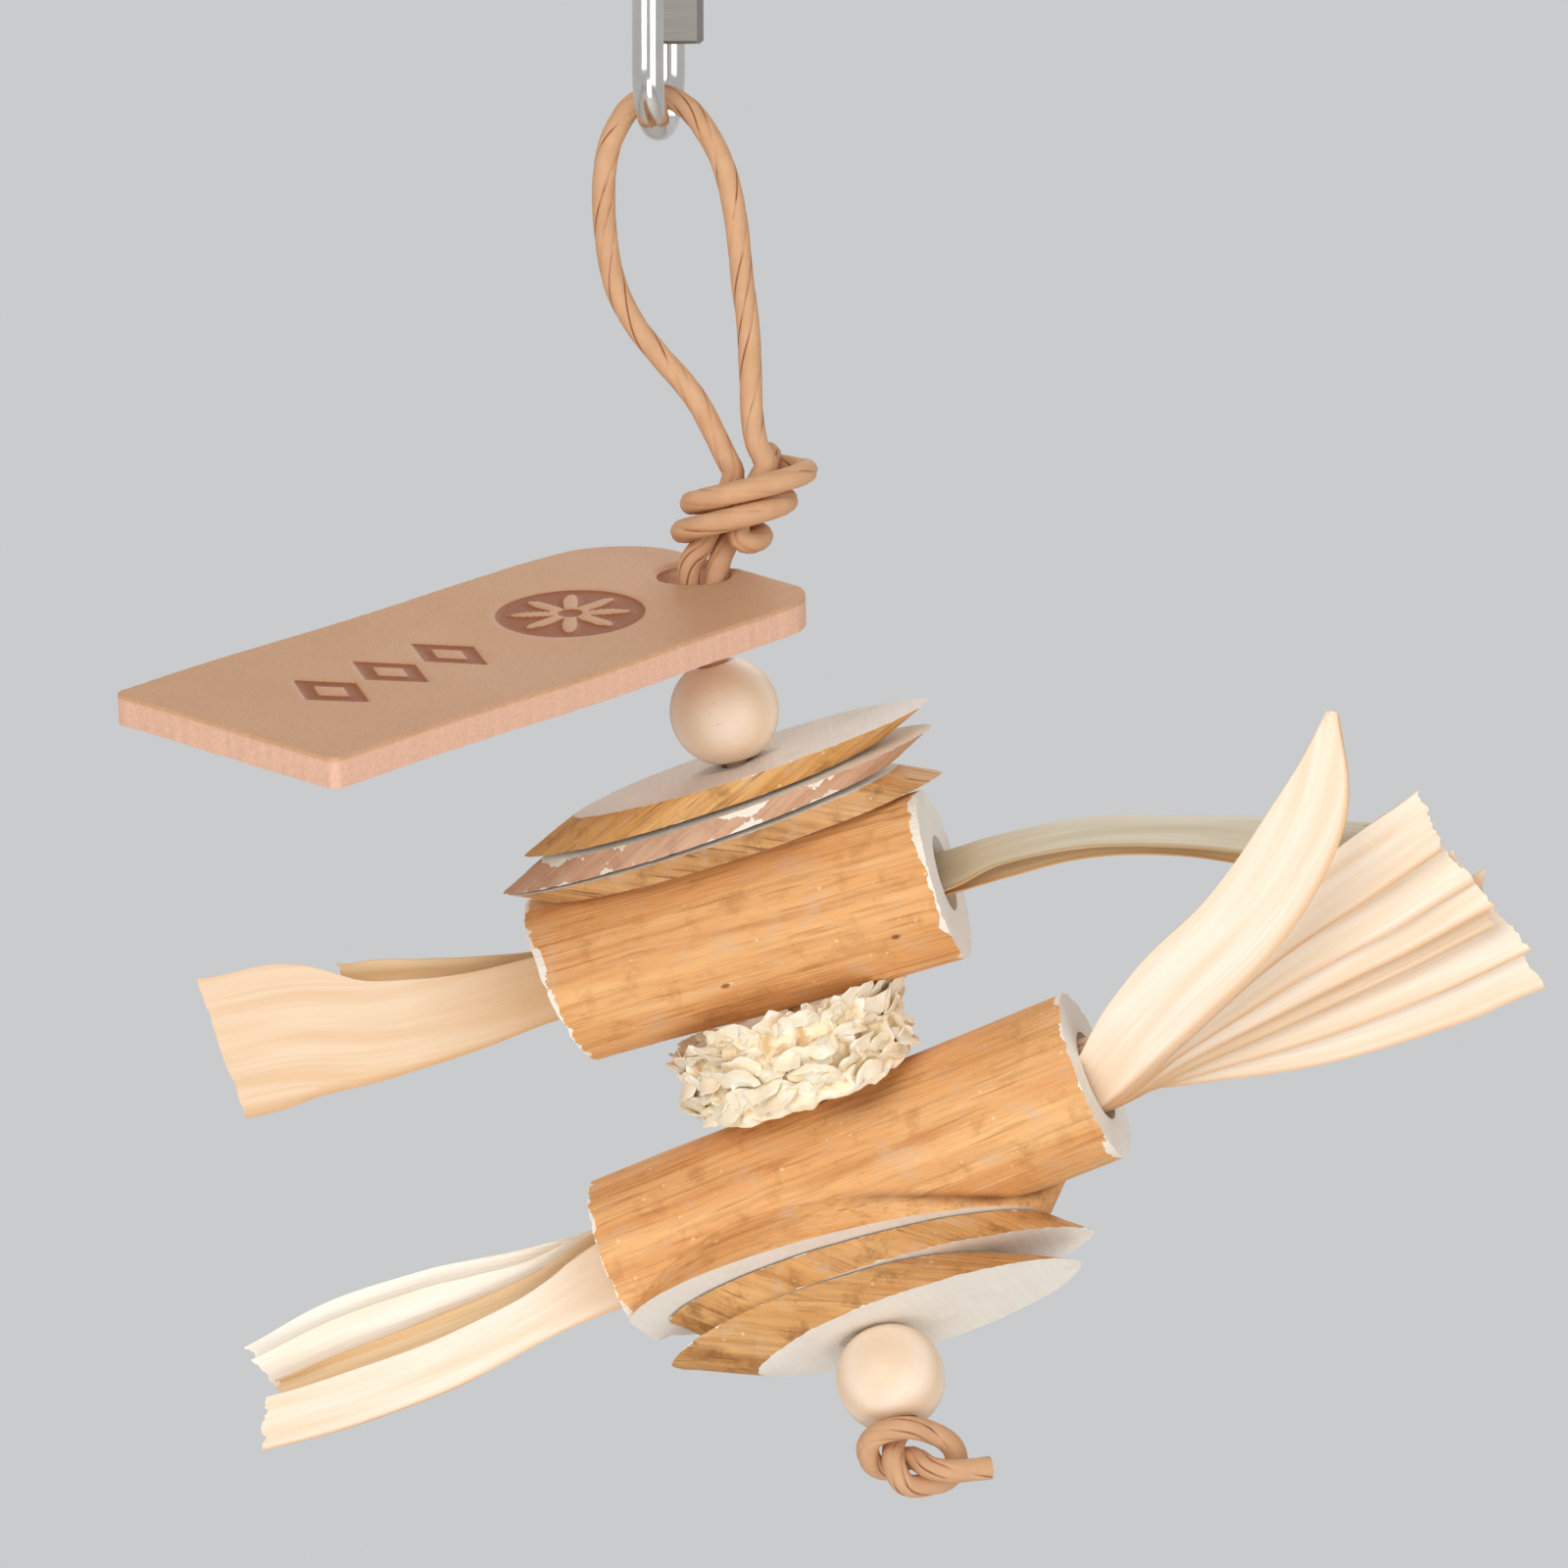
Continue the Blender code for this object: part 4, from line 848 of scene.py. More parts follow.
upper_shift = Vector((0.3, 0.2, 0.1))
upper_stick = bark_stick("upper_stick_bark", UPPER_LENGTH, UPPER_OFF, upper_shift, UPPER_END_SLANT)
drill_ends(upper_stick, UPPER_LENGTH, UPPER_OFF, UPPER_BORE, UPPER_BORE_DEPTH)
drill(upper_stick, Vector((0, 0, -STICK_DIAMETER)), Vector((0, 0, STICK_DIAMETER)), CORD_HOLE)
keep_stick_grain(upper_stick, UPPER_LENGTH, UPPER_OFF, upper_shift, UPPER_END_SLANT)
upper_seat = seat_of("upper_stick_turn", UPPER_YAW)
upper_stick.data.transform(upper_seat)
bpy.ops.object.shade_smooth_by_angle(angle=math.radians(40))
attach(upper_stick, "upper_stick")
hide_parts("upper_stick")


# Corn cob slice
# A disc sawn across a dried cob: a pithy core with rows of empty kernel pockets round it.
# Papery chaff stands round every pocket. The disc is drilled beside its middle for the cord.

COB_THICKNESS = 9.3 * MM
COB_OFF = -1.9 * MM
COB_HOLE = 6.0 * MM
COB_CORE = 13.9 * MM
COB_ROUND = 1.8 * MM
COB_FOOT = -3.0 * MM
COB_FOOT_STAND = 0.7 * MM
COB_RINGS = 4
COB_RING = 1.2 * MM
COB_SINK = 0.3 * MM
COB_CRUMPLE = ((0.3, 1.5 * MM), (0.16, 0.6 * MM))
COB_COLLAR = 1.3 * MM
POCKET_ROWS = 4
POCKETS_ROUND = 16
POCKET_HEIGHT = 3.4 * MM
POCKET_TOP = 2.6 * MM
POCKET_WALL = 1.3 * MM
POCKET_RIM = 0.8 * MM
POCKET_BEND = 0.8
POCKET_BEND_SIZE = 3.0 * MM
WALL_CURL = 0.9 * MM
WALL_CURL_SIZE = 2.2 * MM
CHAFF_LENGTH = 2.9 * MM
CHAFF_WIDTH = 7.4 * MM
CHAFF_WALL = 0.14 * MM
CHAFF_ROWS = (-3.3 * MM, -2.0 * MM, -0.7 * MM, 0.6 * MM, 1.9 * MM, 3.2 * MM)
CHAFF_ROUND = 20
CHAFF_SPIKES = 110
CHAFF_CRUSH = 0.7
CHAFF_CRUSH_SIZE = 2.0 * MM
CHAFF_SEED = 7

chance = random.Random(CHAFF_SEED)
pocket_slips = []
for row in range(POCKET_ROWS):
    slips = [Vector((chance.gauss(0, 0.1), chance.gauss(0, 0.12))) for column in range(POCKETS_ROUND)]
    pocket_slips.append(slips)


def pocket_wall(place):
    """The wall between the two nearest kernel pockets: 0 inside one, 1 on the crest. Laid as bricks."""
    turn = math.atan2(place.y, place.x) / (2 * math.pi) * POCKETS_ROUND
    pitch = 2 * math.pi * COB_CORE / POCKETS_ROUND
    away = []
    for row in range(POCKET_ROWS):
        for column in range(math.floor(turn) - 1, math.floor(turn) + 3):
            slip = pocket_slips[row][column % POCKETS_ROUND]
            across = (turn - column - row % 2 / 2 - slip.x) * pitch / 1.5
            up = place.z - POCKET_TOP + POCKET_HEIGHT * (row - 1 + slip.y)
            away.append(math.hypot(across, up))
    away.sort()
    return max(0.0, 1 - (away[1] - away[0]) / POCKET_RIM)


def collar(place):
    """How far the chaff stands proud of the sawn faces: in full at the front, not at the sides or back."""
    turned = -place.y / max(place.length, MM)
    return COB_COLLAR * share((turned - 0.4) / 0.35)


cob = begin(
    "cylinder", "corn_cob_disc", vertices=320, radius=COB_CORE, depth=COB_THICKNESS, location=(COB_OFF, 0, 0)
)
bpy.ops.object.transform_apply(location=True, rotation=True, scale=True)
select(cob, "FACE", lambda face: abs(face.normal.z) > 0.5)
for ring in range(COB_RINGS):
    bpy.ops.mesh.inset(thickness=COB_RING)
select(cob, "EDGE", lambda edge: abs(edge_run(cob, edge).z) > COB_THICKNESS / 2)
bpy.ops.mesh.subdivide(number_cuts=36)
end_edit()
pockets = []
for point in cob.data.vertices:
    co = point.co.copy()
    outward = Vector((co.x - COB_OFF, co.y, 0))
    crumple = sum(height * noise.noise(co / size) for height, size in COB_CRUMPLE)
    proud = collar(outward) * share((outward.length - COB_CORE + 2.6 * MM) / (2 * MM))
    point.co.z += proud * co.z / (COB_THICKNESS / 2)
    if outward.length < COB_CORE - 0.1 * MM:
        point.co.z += math.copysign(crumple * 0.7, co.z) * MM - math.copysign(COB_SINK, co.z)
        pockets.append(0.0)
        continue
    there = co / POCKET_BEND_SIZE
    bend = Vector((noise.noise(there), noise.noise(there + Vector((5, 5, 5))), 0)) * POCKET_BEND * MM
    plain = share((COB_FOOT - co.z + bend.x) / (0.9 * MM))
    wall = pocket_wall(outward + Vector((bend.x, bend.x, co.z + bend.y))) ** 0.8 * (1 - plain)
    stand = POCKET_WALL * wall * (0.75 + 0.6 * noise.noise(co / WALL_CURL_SIZE)) + COB_FOOT_STAND * plain
    into_round = max(0.0, abs(co.z) - (COB_THICKNESS / 2 - COB_ROUND)) / COB_ROUND
    fall = COB_ROUND * 0.8 * (1 - math.sqrt(max(0.0, 1 - into_round**2)))
    point.co += outward.normalized() * (stand - fall + crumple * MM)
    point.co.z += WALL_CURL * wall * noise.noise(co / WALL_CURL_SIZE + Vector((9, 4, 1))) * (1 - into_round)
    pockets.append((1 - plain) * max(0.0, 1 - 2 * wall))
keep_grain(cob, pockets, "pocket")
drill(cob, Vector((0, 0, -COB_THICKNESS)), Vector((0, 0, COB_THICKNESS)), COB_HOLE)
close_seams(cob)

scale = begin("grid", "chaff_scale", x_subdivisions=3, y_subdivisions=8, size=1)
for point in scale.data.vertices:
    out, side = point.co.x + 0.5, point.co.y * 2
    across = CHAFF_WIDTH / 2 * side
    full = out * (1 - 0.75 * side**6)
    lean = CHAFF_LENGTH * (0.05 + 0.2 * full + 0.3 * full**2) - across**2 / (2.2 * COB_CORE)
    point.co = (lean, across, CHAFF_LENGTH * full)
apply_modifier(scale, "SOLIDIFY", thickness=CHAFF_WALL, offset=0.0)
keep_grain(scale, [0.0] * len(scale.data.vertices), "pocket")

chaff = [cob]


def add_chaff(angle, height, stand, roll, size, thin, sink):
    """One papery scale on the cob's side, leaning up or down by stand."""
    copy = scale.copy()
    copy.data = scale.data.copy()
    bpy.context.scene.collection.objects.link(copy)
    place = Matrix.Translation((COB_OFF, 0, height)) @ Matrix.Rotation(angle, 4, "Z")
    place = place @ Matrix.Translation((COB_CORE - sink, 0, 0)) @ Matrix.Rotation(-stand, 4, "Y")
    place = place @ Matrix.Rotation(roll, 4, "X") @ Matrix.Diagonal((size, size * thin, size, 1.0))
    copy.data.transform(place)
    chaff.append(copy)


for row, height in enumerate(CHAFF_ROWS):
    for column in range(CHAFF_ROUND):
        lip = -1 if 0 < row < len(CHAFF_ROWS) - 1 and chance.random() < 0.4 else 1
        angle = (column + row % 2 / 2 + chance.gauss(0, 0.16)) * 2 * math.pi / CHAFF_ROUND
        spread = 1 + collar(Vector((math.cos(angle), math.sin(angle), 0))) / (COB_THICKNESS / 2)
        add_chaff(
            angle,
            height=(height + chance.gauss(0, 0.35) * MM) * spread,
            stand=lip * math.radians(chance.uniform(-22, 10)),
            roll=(0 if lip > 0 else math.pi) + math.radians(chance.gauss(0, 9)),
            size=chance.uniform(0.6, 1.05),
            thin=chance.uniform(0.6, 1.15),
            sink=chance.uniform(-0.6, 0.6) * MM,
        )
for spike in range(CHAFF_SPIKES):
    angle = chance.uniform(0, 2 * math.pi)
    crest = COB_THICKNESS / 2 + collar(Vector((math.cos(angle), math.sin(angle), 0)))
    add_chaff(
        angle,
        height=crest - chance.uniform(1.0, 1.8) * MM,
        stand=math.radians(chance.uniform(-40, 30)),
        roll=math.radians(chance.uniform(-40, 40)),
        size=chance.uniform(0.4, 0.8),
        thin=chance.uniform(0.15, 0.45),
        sink=chance.uniform(-0.6, 1.2) * MM,
    )
bpy.data.objects.remove(scale)
pick(cob)
for piece in chaff:
    piece.select_set(True)
bpy.ops.object.join()
keep_grain(cob, [point.co.copy() for point in cob.data.vertices])
noise.seed_set(CHAFF_SEED)
for point in cob.data.vertices:
    if math.hypot(point.co.x - COB_OFF, point.co.y) > COB_CORE - 1.5 * MM:
        point.co += noise.noise_vector(point.co / CHAFF_CRUSH_SIZE) * CHAFF_CRUSH * MM
cob.data.transform(seat_of("cob_turn"))
bpy.ops.object.shade_smooth_by_angle(angle=math.radians(80))

# Dried cob chaff: crumpled cream paper that lets a little light through, paler in patches, with ochre painted
# in patches on the pocket floors as their shade.
cob_chaff, shader, node = new_finish("dried_corn_cob_chaff", 0.75, specular=0.2)
grain = node("Attribute", out="Vector", attribute_name="grain")
pocket = node("Attribute", out="Fac", attribute_name="pocket")
mottle = node("TexNoise", {"Vector": grain, "Scale": 1 / (2.0 * MM), "Detail": 5.0, "Roughness": 0.65})
fibre = node("TexNoise", {"Vector": grain, "Scale": 1 / (0.4 * MM), "Detail": 4.0})
patch = node("MapRange", {"Value": mottle, "From Min": 0.35, "From Max": 0.65})
cream = node("Mix", {0: patch, 6: linear("FFEAC4"), 7: linear("FFF8E6")}, 2, data_type="RGBA")
# Painted shade: ochre in patches where the pocket floors lie.
pocket_shade = node("MapRange", {"Value": mottle, "From Min": 0.43, "From Max": 0.58, "To Max": 0.75})
pocket_shade = node("Math", {0: pocket_shade, 1: pocket}, operation="MULTIPLY")
cream = node("Mix", {0: pocket_shade, 6: cream, 7: linear("D6A254")}, 2, data_type="RGBA")
feed(shader, cream, fibre, 0.1 * MM)
shader.inputs["Subsurface Weight"].default_value = 0.2
shader.inputs["Subsurface Radius"].default_value = (1.0, 0.8, 0.55)
shader.inputs["Subsurface Scale"].default_value = 1.2 * MM
cob.data.materials.append(cob_chaff)
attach(cob, "cob")
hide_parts("corn_cob_slice")


# Lower stick
# A longer length of the branch with the stub of a side branch on it, sawn off flat across.
# Two more slices lie against the cut. Its ends are drilled wider, for thicker bunches of husk.

LOWER_LENGTH = 67.0 * MM
LOWER_OFF = 0.6 * MM
LOWER_YAW = -11.0
LOWER_BORE = 12.0 * MM
LOWER_BORE_DEPTH = 20.0 * MM
FLAT_DROP = 12.2 * MM
FLAT_DROP_LEAN = math.radians(5.0)
FLAT_DROP_TILT = math.radians(-13.0)
BRANCH_LENGTH = 55.4 * MM
BRANCH_WIDTH = 27.0 * MM
BRANCH_ROOT_WIDTH = 21.8 * MM
BRANCH_HEIGHT = 10.5 * MM
BRANCH_LEFT = -5.2 * MM
BRANCH_SLANT = 9.9 * MM
SAW_BLOCK = 150.0 * MM
SAW_TRIM = 0.05 * MM
# Painted shade: a dark line along the side branch's crease, and a shadow under the cob's front edge.
CREASE_REACH = 1.0 * MM
CREASE_FROM = -4.0 * MM
CREASE_TO = 6.0 * MM
COB_SHADOW_AT = Vector((7.0, -5.5, 9.6)) * MM
COB_SHADOW_REACH = 3.6 * MM
COB_SHADOW_LENGTHEN = 2.2

lower_shift = Vector((0.5, 0.4, 0.3))
lower_seat = seat_of("lower_stick_turn", LOWER_YAW)
drop = Matrix.Rotation(-FLAT_DROP_LEAN, 3, "Y") @ Matrix.Rotation(FLAT_DROP_TILT, 3, "X") @ Vector((0, 0, 1))
flat_seat = seat_of("slice_d_turn")
flat_seat.translation = lower_seat.translation - drop * FLAT_DROP
flat_here = lower_seat.inverted() @ flat_seat
lower_stick = bark_stick("lower_stick_bark", LOWER_LENGTH, LOWER_OFF, lower_shift)

stub = begin("cylinder", "side_branch", vertices=120, radius=0.5, depth=1.0)
edit_all()
bpy.ops.transform.resize(value=(BRANCH_LENGTH, BRANCH_WIDTH, BRANCH_HEIGHT * 5 / 4))
bpy.ops.transform.translate(value=(BRANCH_LEFT, 0, BRANCH_HEIGHT * 3 / 8))
end_edit()
select(stub, "VERT", lambda point: point.co.z > 0)
bpy.ops.transform.translate(value=(BRANCH_SLANT, 0, 0))
bpy.ops.transform.resize(value=(1, BRANCH_ROOT_WIDTH / BRANCH_WIDTH, 1), center_override=(0, 0, 0))
select(stub, "EDGE", lambda edge: abs(edge_run(stub, edge).z) > BRANCH_HEIGHT / 2)
bpy.ops.mesh.subdivide(number_cuts=14)
end_edit()
stub.data.transform(flat_here)
combine(lower_stick, stub, "UNION")
left_end = LOWER_OFF - LOWER_LENGTH / 2 + SAW_TRIM
end_here = Matrix.Translation((left_end, 0, 0)) @ Matrix.Rotation(math.radians(90), 4, "Y")
for sawn in (flat_here, end_here):
    block = begin("cube", "saw_block", size=SAW_BLOCK)
    block.data.transform(sawn @ Matrix.Translation((0, 0, -SAW_BLOCK / 2)))
    combine(lower_stick, block, "DIFFERENCE")
    up = sawn.to_3x3() @ Vector((0, 0, 1))
    for face in lower_stick.data.polygons:
        if face.normal.dot(up) < -0.999 and abs((face.center - sawn.translation).dot(up)) < 0.01 * MM:
            face.material_index = 1
close_seams(lower_stick)
drill_ends(lower_stick, LOWER_LENGTH, LOWER_OFF, LOWER_BORE, LOWER_BORE_DEPTH)
drill(lower_stick, Vector((0, 0, 0)), Vector((0, 0, STICK_DIAMETER)), CORD_HOLE)
drill(lower_stick, Vector((0, 0, CORD / 2)), flat_here.translation * 1.5, CORD_HOLE + CORD / 2)
keep_stick_grain(lower_stick, LOWER_LENGTH, LOWER_OFF, lower_shift)
# Painted shade, kept as an attribute for the bark: the crease line and the shadow under the cob.
painted_shades = []
for point in lower_stick.data.vertices:
    from_stick = abs(math.hypot(point.co.y, point.co.z) - STICK_DIAMETER / 2)
    spot = flat_here.inverted() @ point.co
    up = (spot.z + BRANCH_HEIGHT / 4) / (BRANCH_HEIGHT * 5 / 4)
    half_width = (BRANCH_WIDTH + (BRANCH_ROOT_WIDTH - BRANCH_WIDTH) * up) / 2
    along = (spot.x - BRANCH_LEFT - BRANCH_SLANT * up) / (BRANCH_LENGTH / 2)
    from_stub = abs(math.hypot(along, spot.y / half_width) - 1) * half_width
    joint_line = max(0.0, 1 - math.hypot(from_stick, from_stub) / CREASE_REACH)
    joint_line *= share((point.co.x - CREASE_FROM) / (CREASE_TO - CREASE_FROM))
    away = point.co - COB_SHADOW_AT
    dark_patch = 0.6 * max(0.0, 1 - math.hypot(away.x / COB_SHADOW_LENGTHEN, away.y, away.z) / COB_SHADOW_REACH)
    painted_shades.append(max(joint_line * (0.8 + 0.4 * noise.noise(point.co / (3 * MM))), dark_patch))
keep_grain(lower_stick, painted_shades, "crease")
lower_stick.data.transform(lower_seat)
bpy.ops.object.shade_smooth_by_angle(angle=math.radians(40))
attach(lower_stick, "lower_stick")
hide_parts("lower_stick")


# Corn husks
# Strips of dried corn husk, bunched and stuffed into the ends of both sticks.
# Each strip is a thin leaf with ribs along it, pleated and curled as it dried, and cut off ragged.

HUSK = 0.3 * MM
HUSK_ROWS = 84
HUSK_COLUMNS = 30
HUSK_CURVE = 12
HUSK_RIB = 0.6 * MM
HUSK_WAVE = 0.5 * MM
HUSK_BEHIND = 0.4 * MM
HUSK_SEAT = 0.3 * MM
FAN_FIRST = -2.7
FAN_STEP = 1.25


def mouth(seat, length, off, side):
    """The frame of a bore's mouth: +X out of the stick, +Y away from the front."""
    place = seat @ Matrix.Translation((off + side * length / 2, 0, 0))
    return place @ Matrix.Scale(-1, 4, (1, 0, 0)) if side < 0 else place


def husk_strip(
    name, place, depth, stations, seed, folds=0.6, fold_depth=0.4, cup=0.0, ribs=0.015, rag=0.3, skew=0.0
):
    """A leaf through stations of x, y, z, width and roll, in millimetres and degrees.

    It is folded along its length and cupped, ribs stand on it, and its end is torn or cut askew.
    """
    inner = (-depth / MM + 2, stations[0][1], stations[0][2] / 2, *stations[0][3:])
    rows = (inner, *stations)
    path = smooth_path([Vector(row[:3]) * MM for row in rows], HUSK_CURVE)
    shapes = smooth_path([Vector((row[3] * MM, math.radians(row[4]), 0)) for row in rows], HUSK_CURVE)
    made = begin("grid", name, x_subdivisions=HUSK_ROWS, y_subdivisions=HUSK_COLUMNS, size=2)
    length = sum((end - start).length for start, end in zip(path, path[1:]))
    grain = []
    rims = []
    for point in made.data.vertices:
        t, v = (point.co.x + 1) / 2, point.co.y
        torn = 0.03 * noise.noise(Vector((v * 2, seed, 0))) + 0.02 * noise.noise(Vector((v * 7, seed, 5)))
        reach = t * (1 - 0.02 * rag - abs(skew) + (rag * torn + skew * v) * t**4)
        at = min(len(path) - 1.001, max(0.0, reach * (len(path) - 1)))
        i, part = int(at), at % 1
        centre, shape = path[i].lerp(path[i + 1], part), shapes[i].lerp(shapes[i + 1], part)
        ahead = path[min(i + 2, len(path) - 1)] - path[max(i - 1, 0)]
        side = Vector((0, math.sin(shape.y), math.cos(shape.y)))
        side = (side - ahead * side.dot(ahead) / ahead.length_squared).normalized()
        face = ahead.cross(side).normalized()
        half = shape.x / 2 * (1 + 0.05 * t * noise.noise(Vector((t * 7, math.copysign(3, v), seed))))
        open_up = max(0.0, (t * length - depth) / (length - depth))
        fold = fold_depth * MM * (0.25 + 0.75 * open_up) * math.sin(math.pi * folds * v + seed)
        fold += cup * MM * open_up * (v * v - 0.33)
        wave = HUSK_WAVE * open_up * noise.noise(Vector((t * 5, v * 0.8, seed)))
        rib = ribs * MM * math.sin(v * half / HUSK_RIB * 2 * math.pi)
        point.co = centre + side * half * v + face * (fold + wave + rib)
        grain.append(Vector((t * length, v * half, seed * 0.01)))
        rims.append(max(-v, 0.9 * v - 0.05))
    keep_grain(made, grain)
    keep_grain(made, rims, "rim")
    made.data.transform(place)
    apply_modifier(made, "SOLIDIFY", thickness=HUSK, offset=0.0)
    edit_all()
    bpy.ops.mesh.normals_make_consistent(inside=False)
    end_edit()
    bpy.ops.object.shade_smooth_by_angle(angle=math.radians(60))
    return made


def root_width(bore, y):
    """The widest strip, in millimetres, that fits a bore at a distance from its middle."""
    return 2 * (math.sqrt((bore / 2) ** 2 - (abs(y) * MM + HUSK_BEHIND) ** 2) - HUSK_SEAT) / MM


def husk_bunch(body, place, bore, depth, strips):
    """The strips in one bore. Each has its y, its root's share of the width, finish, stations and shape."""
    for i, (y, filled, finish, stations, shape) in enumerate(strips, 1):
        widest = root_width(bore, y)
        spare = widest * (1 - filled) / 2
        lift = max(-spare, min(spare, stations[0][2] / 3))
        if stations[0][0] > 0:
            stations = ((0.0, y, lift, widest * filled, stations[0][4]), *stations)
        strip = husk_strip(f"{body}_{i}_leaf", place, depth, stations, i * 1.7, **shape)
        strip.data.materials.append(finish)
        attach(strip, body)
        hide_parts(f"{body}_{i}")


def husk_finish(name, pale, warm, root):
    """Dried corn husk: papery, with faint veins, warmer in streaks and along its edges, and painted shade
    towards its root.
    """
    made, shader, node = new_finish(name, 0.58, specular=0.25)
    grain = node("Attribute", out="Vector", attribute_name="grain")
    rim = node("Attribute", out="Fac", attribute_name="rim")
    streaks = streaky(node, grain, 40 * MM, 2.2 * MM, 3.0)
    veins = streaky(node, grain, 60 * MM, 0.4 * MM, 2.0)
    from_root = node("SeparateXYZ", {"Vector": grain}, "X")
    streak = node("MapRange", {"Value": streaks, "From Min": 0.34, "From Max": 0.6})
    colour = node("Mix", {0: streak, 6: linear(warm), 7: linear(pale)}, 2, data_type="RGBA")
    for pattern, start, end, most in (
        (veins, 0.55, 0.8, 0.25),
        (rim, 0.82, 1.0, 0.75),
        # painted shade: the root colour over the part in the bore, fading out just past its mouth
        (from_root, 32 * MM, 16 * MM, 0.5),
    ):
        much = node("MapRange", {"Value": pattern, "From Min": start, "From Max": end, "To Max": most})
        colour = node("Mix", {0: much, 6: colour, 7: linear(root)}, 2, data_type="RGBA")
    feed(shader, colour, veins, 0.06 * MM)
    return made


# A lighter copy of the pale husk: painted light for the upper strips of the lower left bunch, which lie in
# shade.
painted_light_husk = husk_finish("painted_light_corn_husk", "FFF8EC", "FCEEDA", "E4BE92")
pale_husk = husk_finish("dried_pale_corn_husk", "F9EAD8", "F1D9BC", "DFA76E")
peach_husk = husk_finish("dried_peach_corn_husk", "EDD2B4", "E5C29B", "CC9A62")
# A darker, warmer copy for strips behind and under others: partly their own tone and partly painted shade.
shaded_tan_husk = husk_finish("shaded_tan_corn_husk", "F0D2A8", "E6BE8C", "BF8A50")
# A greyer copy of the husk for the upper right's front strip: painted shade.
shaded_grey_husk = husk_finish("shaded_grey_corn_husk", "DDD2BD", "CDBFA3", "B8935E")

upper_left = mouth(upper_seat, UPPER_LENGTH, UPPER_OFF, -1)
broad = ((12, -1.2, -0.2, 10.5, 0), (24, -2.0, 1.0, 13.5, 4), (34, -3.0, 3.7, 18.2, 8))
broad += ((44.5, -3.5, 4.6, 18.8, 10),)
behind = ((11, 1.6, 2.0, 8.6, 0), (20, 2.6, 3.8, 9.0, 2), (28, 3.4, 5.4, 8.6, 4))
# The strip behind wears the tan copy: partly its own tone and partly painted shade.
strips = (
    (-1.0, 0.98, peach_husk, broad, {"folds": 0.35, "fold_depth": 0.5, "rag": 0.15, "skew": 0.02}),
    (1.0, 0.98, shaded_tan_husk, behind, {"folds": 1.3, "rag": 0.6}),
)
husk_bunch("upper_left_husk", upper_left, UPPER_BORE, UPPER_BORE_DEPTH, strips)

upper_right = mouth(upper_seat, UPPER_LENGTH, UPPER_OFF, 1)
front = ((8, -0.8, 1.2, 6.2, 68), (19, -0.3, 0.2, 7.0, 72), (31, 0, -3.2, 7.6, 72), (42, 0, -7.0, 8.0, 70))
front += ((54, 0, -10.4, 6.0, 72),)
under = ((8, 1.0, -1.2, 5.6, 66), (19, 1.6, -1.9, 6.4, 76), (30, 2.0, -5.0, 7.2, 76))
under += ((40, 2.0, -9.2, 7.0, 76),)
# The front strip wears the greyer copy, painted shade; the strip under it wears the tan copy.
strips = (
    (-0.8, 0.9, shaded_grey_husk, front, {"folds": 0.4, "fold_depth": 0.3, "cup": -0.7, "rag": 0.5}),
    (0.8, 0.9, shaded_tan_husk, under, {"folds": 1.1, "rag": 1.4}),
)
husk_bunch("upper_right_husk", upper_right, UPPER_BORE, UPPER_BORE_DEPTH, strips)

lower_left = mouth(lower_seat, LOWER_LENGTH, LOWER_OFF, -1)
low = ((12, -3.2, -1.6, 6.6, 0), (26, -3.8, -2.9, 6.8, 6), (40, -4.2, -2.6, 7.0, 8), (54, -4.4, -1.2, 6.6, 4))
middle = ((12, -1.0, 0.2, 6.0, 0), (26, -1.2, 0.2, 5.0, 4), (40, -1.4, 0.7, 4.2, 0), (50, -1.6, 1.0, 3.4, 0))
high = ((12, 0.6, 0.2, 8.8, 8), (26, 0.4, 1.0, 10.4, 18), (40, 0.2, 1.4, 10.8, 26), (52, 0.4, 0.8, 10.0, 22))
top = ((12, 3.0, 2.5, 6.4, 0), (26, 3.6, 4.4, 6.6, 12), (40, 4.0, 5.0, 6.6, 16), (53, 4.4, 3.6, 6.4, 16))
pleated = {"ribs": 0.04, "rag": 0.4}
# The high and top strips wear the lighter copy, painted light against the shade they lie in.
# The middle strip's tan copy is a darker sheet that paints the shaded gap between the low and high strips.
strips = (
    (-2.7, 0.97, pale_husk, low, {"folds": 0.4, "fold_depth": 0.25, "ribs": 0.06, "skew": -0.02}),
    (-0.9, 0.97, shaded_tan_husk, middle, {"folds": 0.8, "fold_depth": 0.5, "rag": 0.8}),
    (0.9, 0.97, painted_light_husk, high, {"folds": 0.7, "fold_depth": 1.1, **pleated, "skew": 0.03}),
    (2.7, 0.97, painted_light_husk, top, {"folds": 0.5, "fold_depth": 0.9, **pleated, "skew": 0.02}),
)
husk_bunch("lower_left_husk", lower_left, LOWER_BORE, LOWER_BORE_DEPTH, strips)

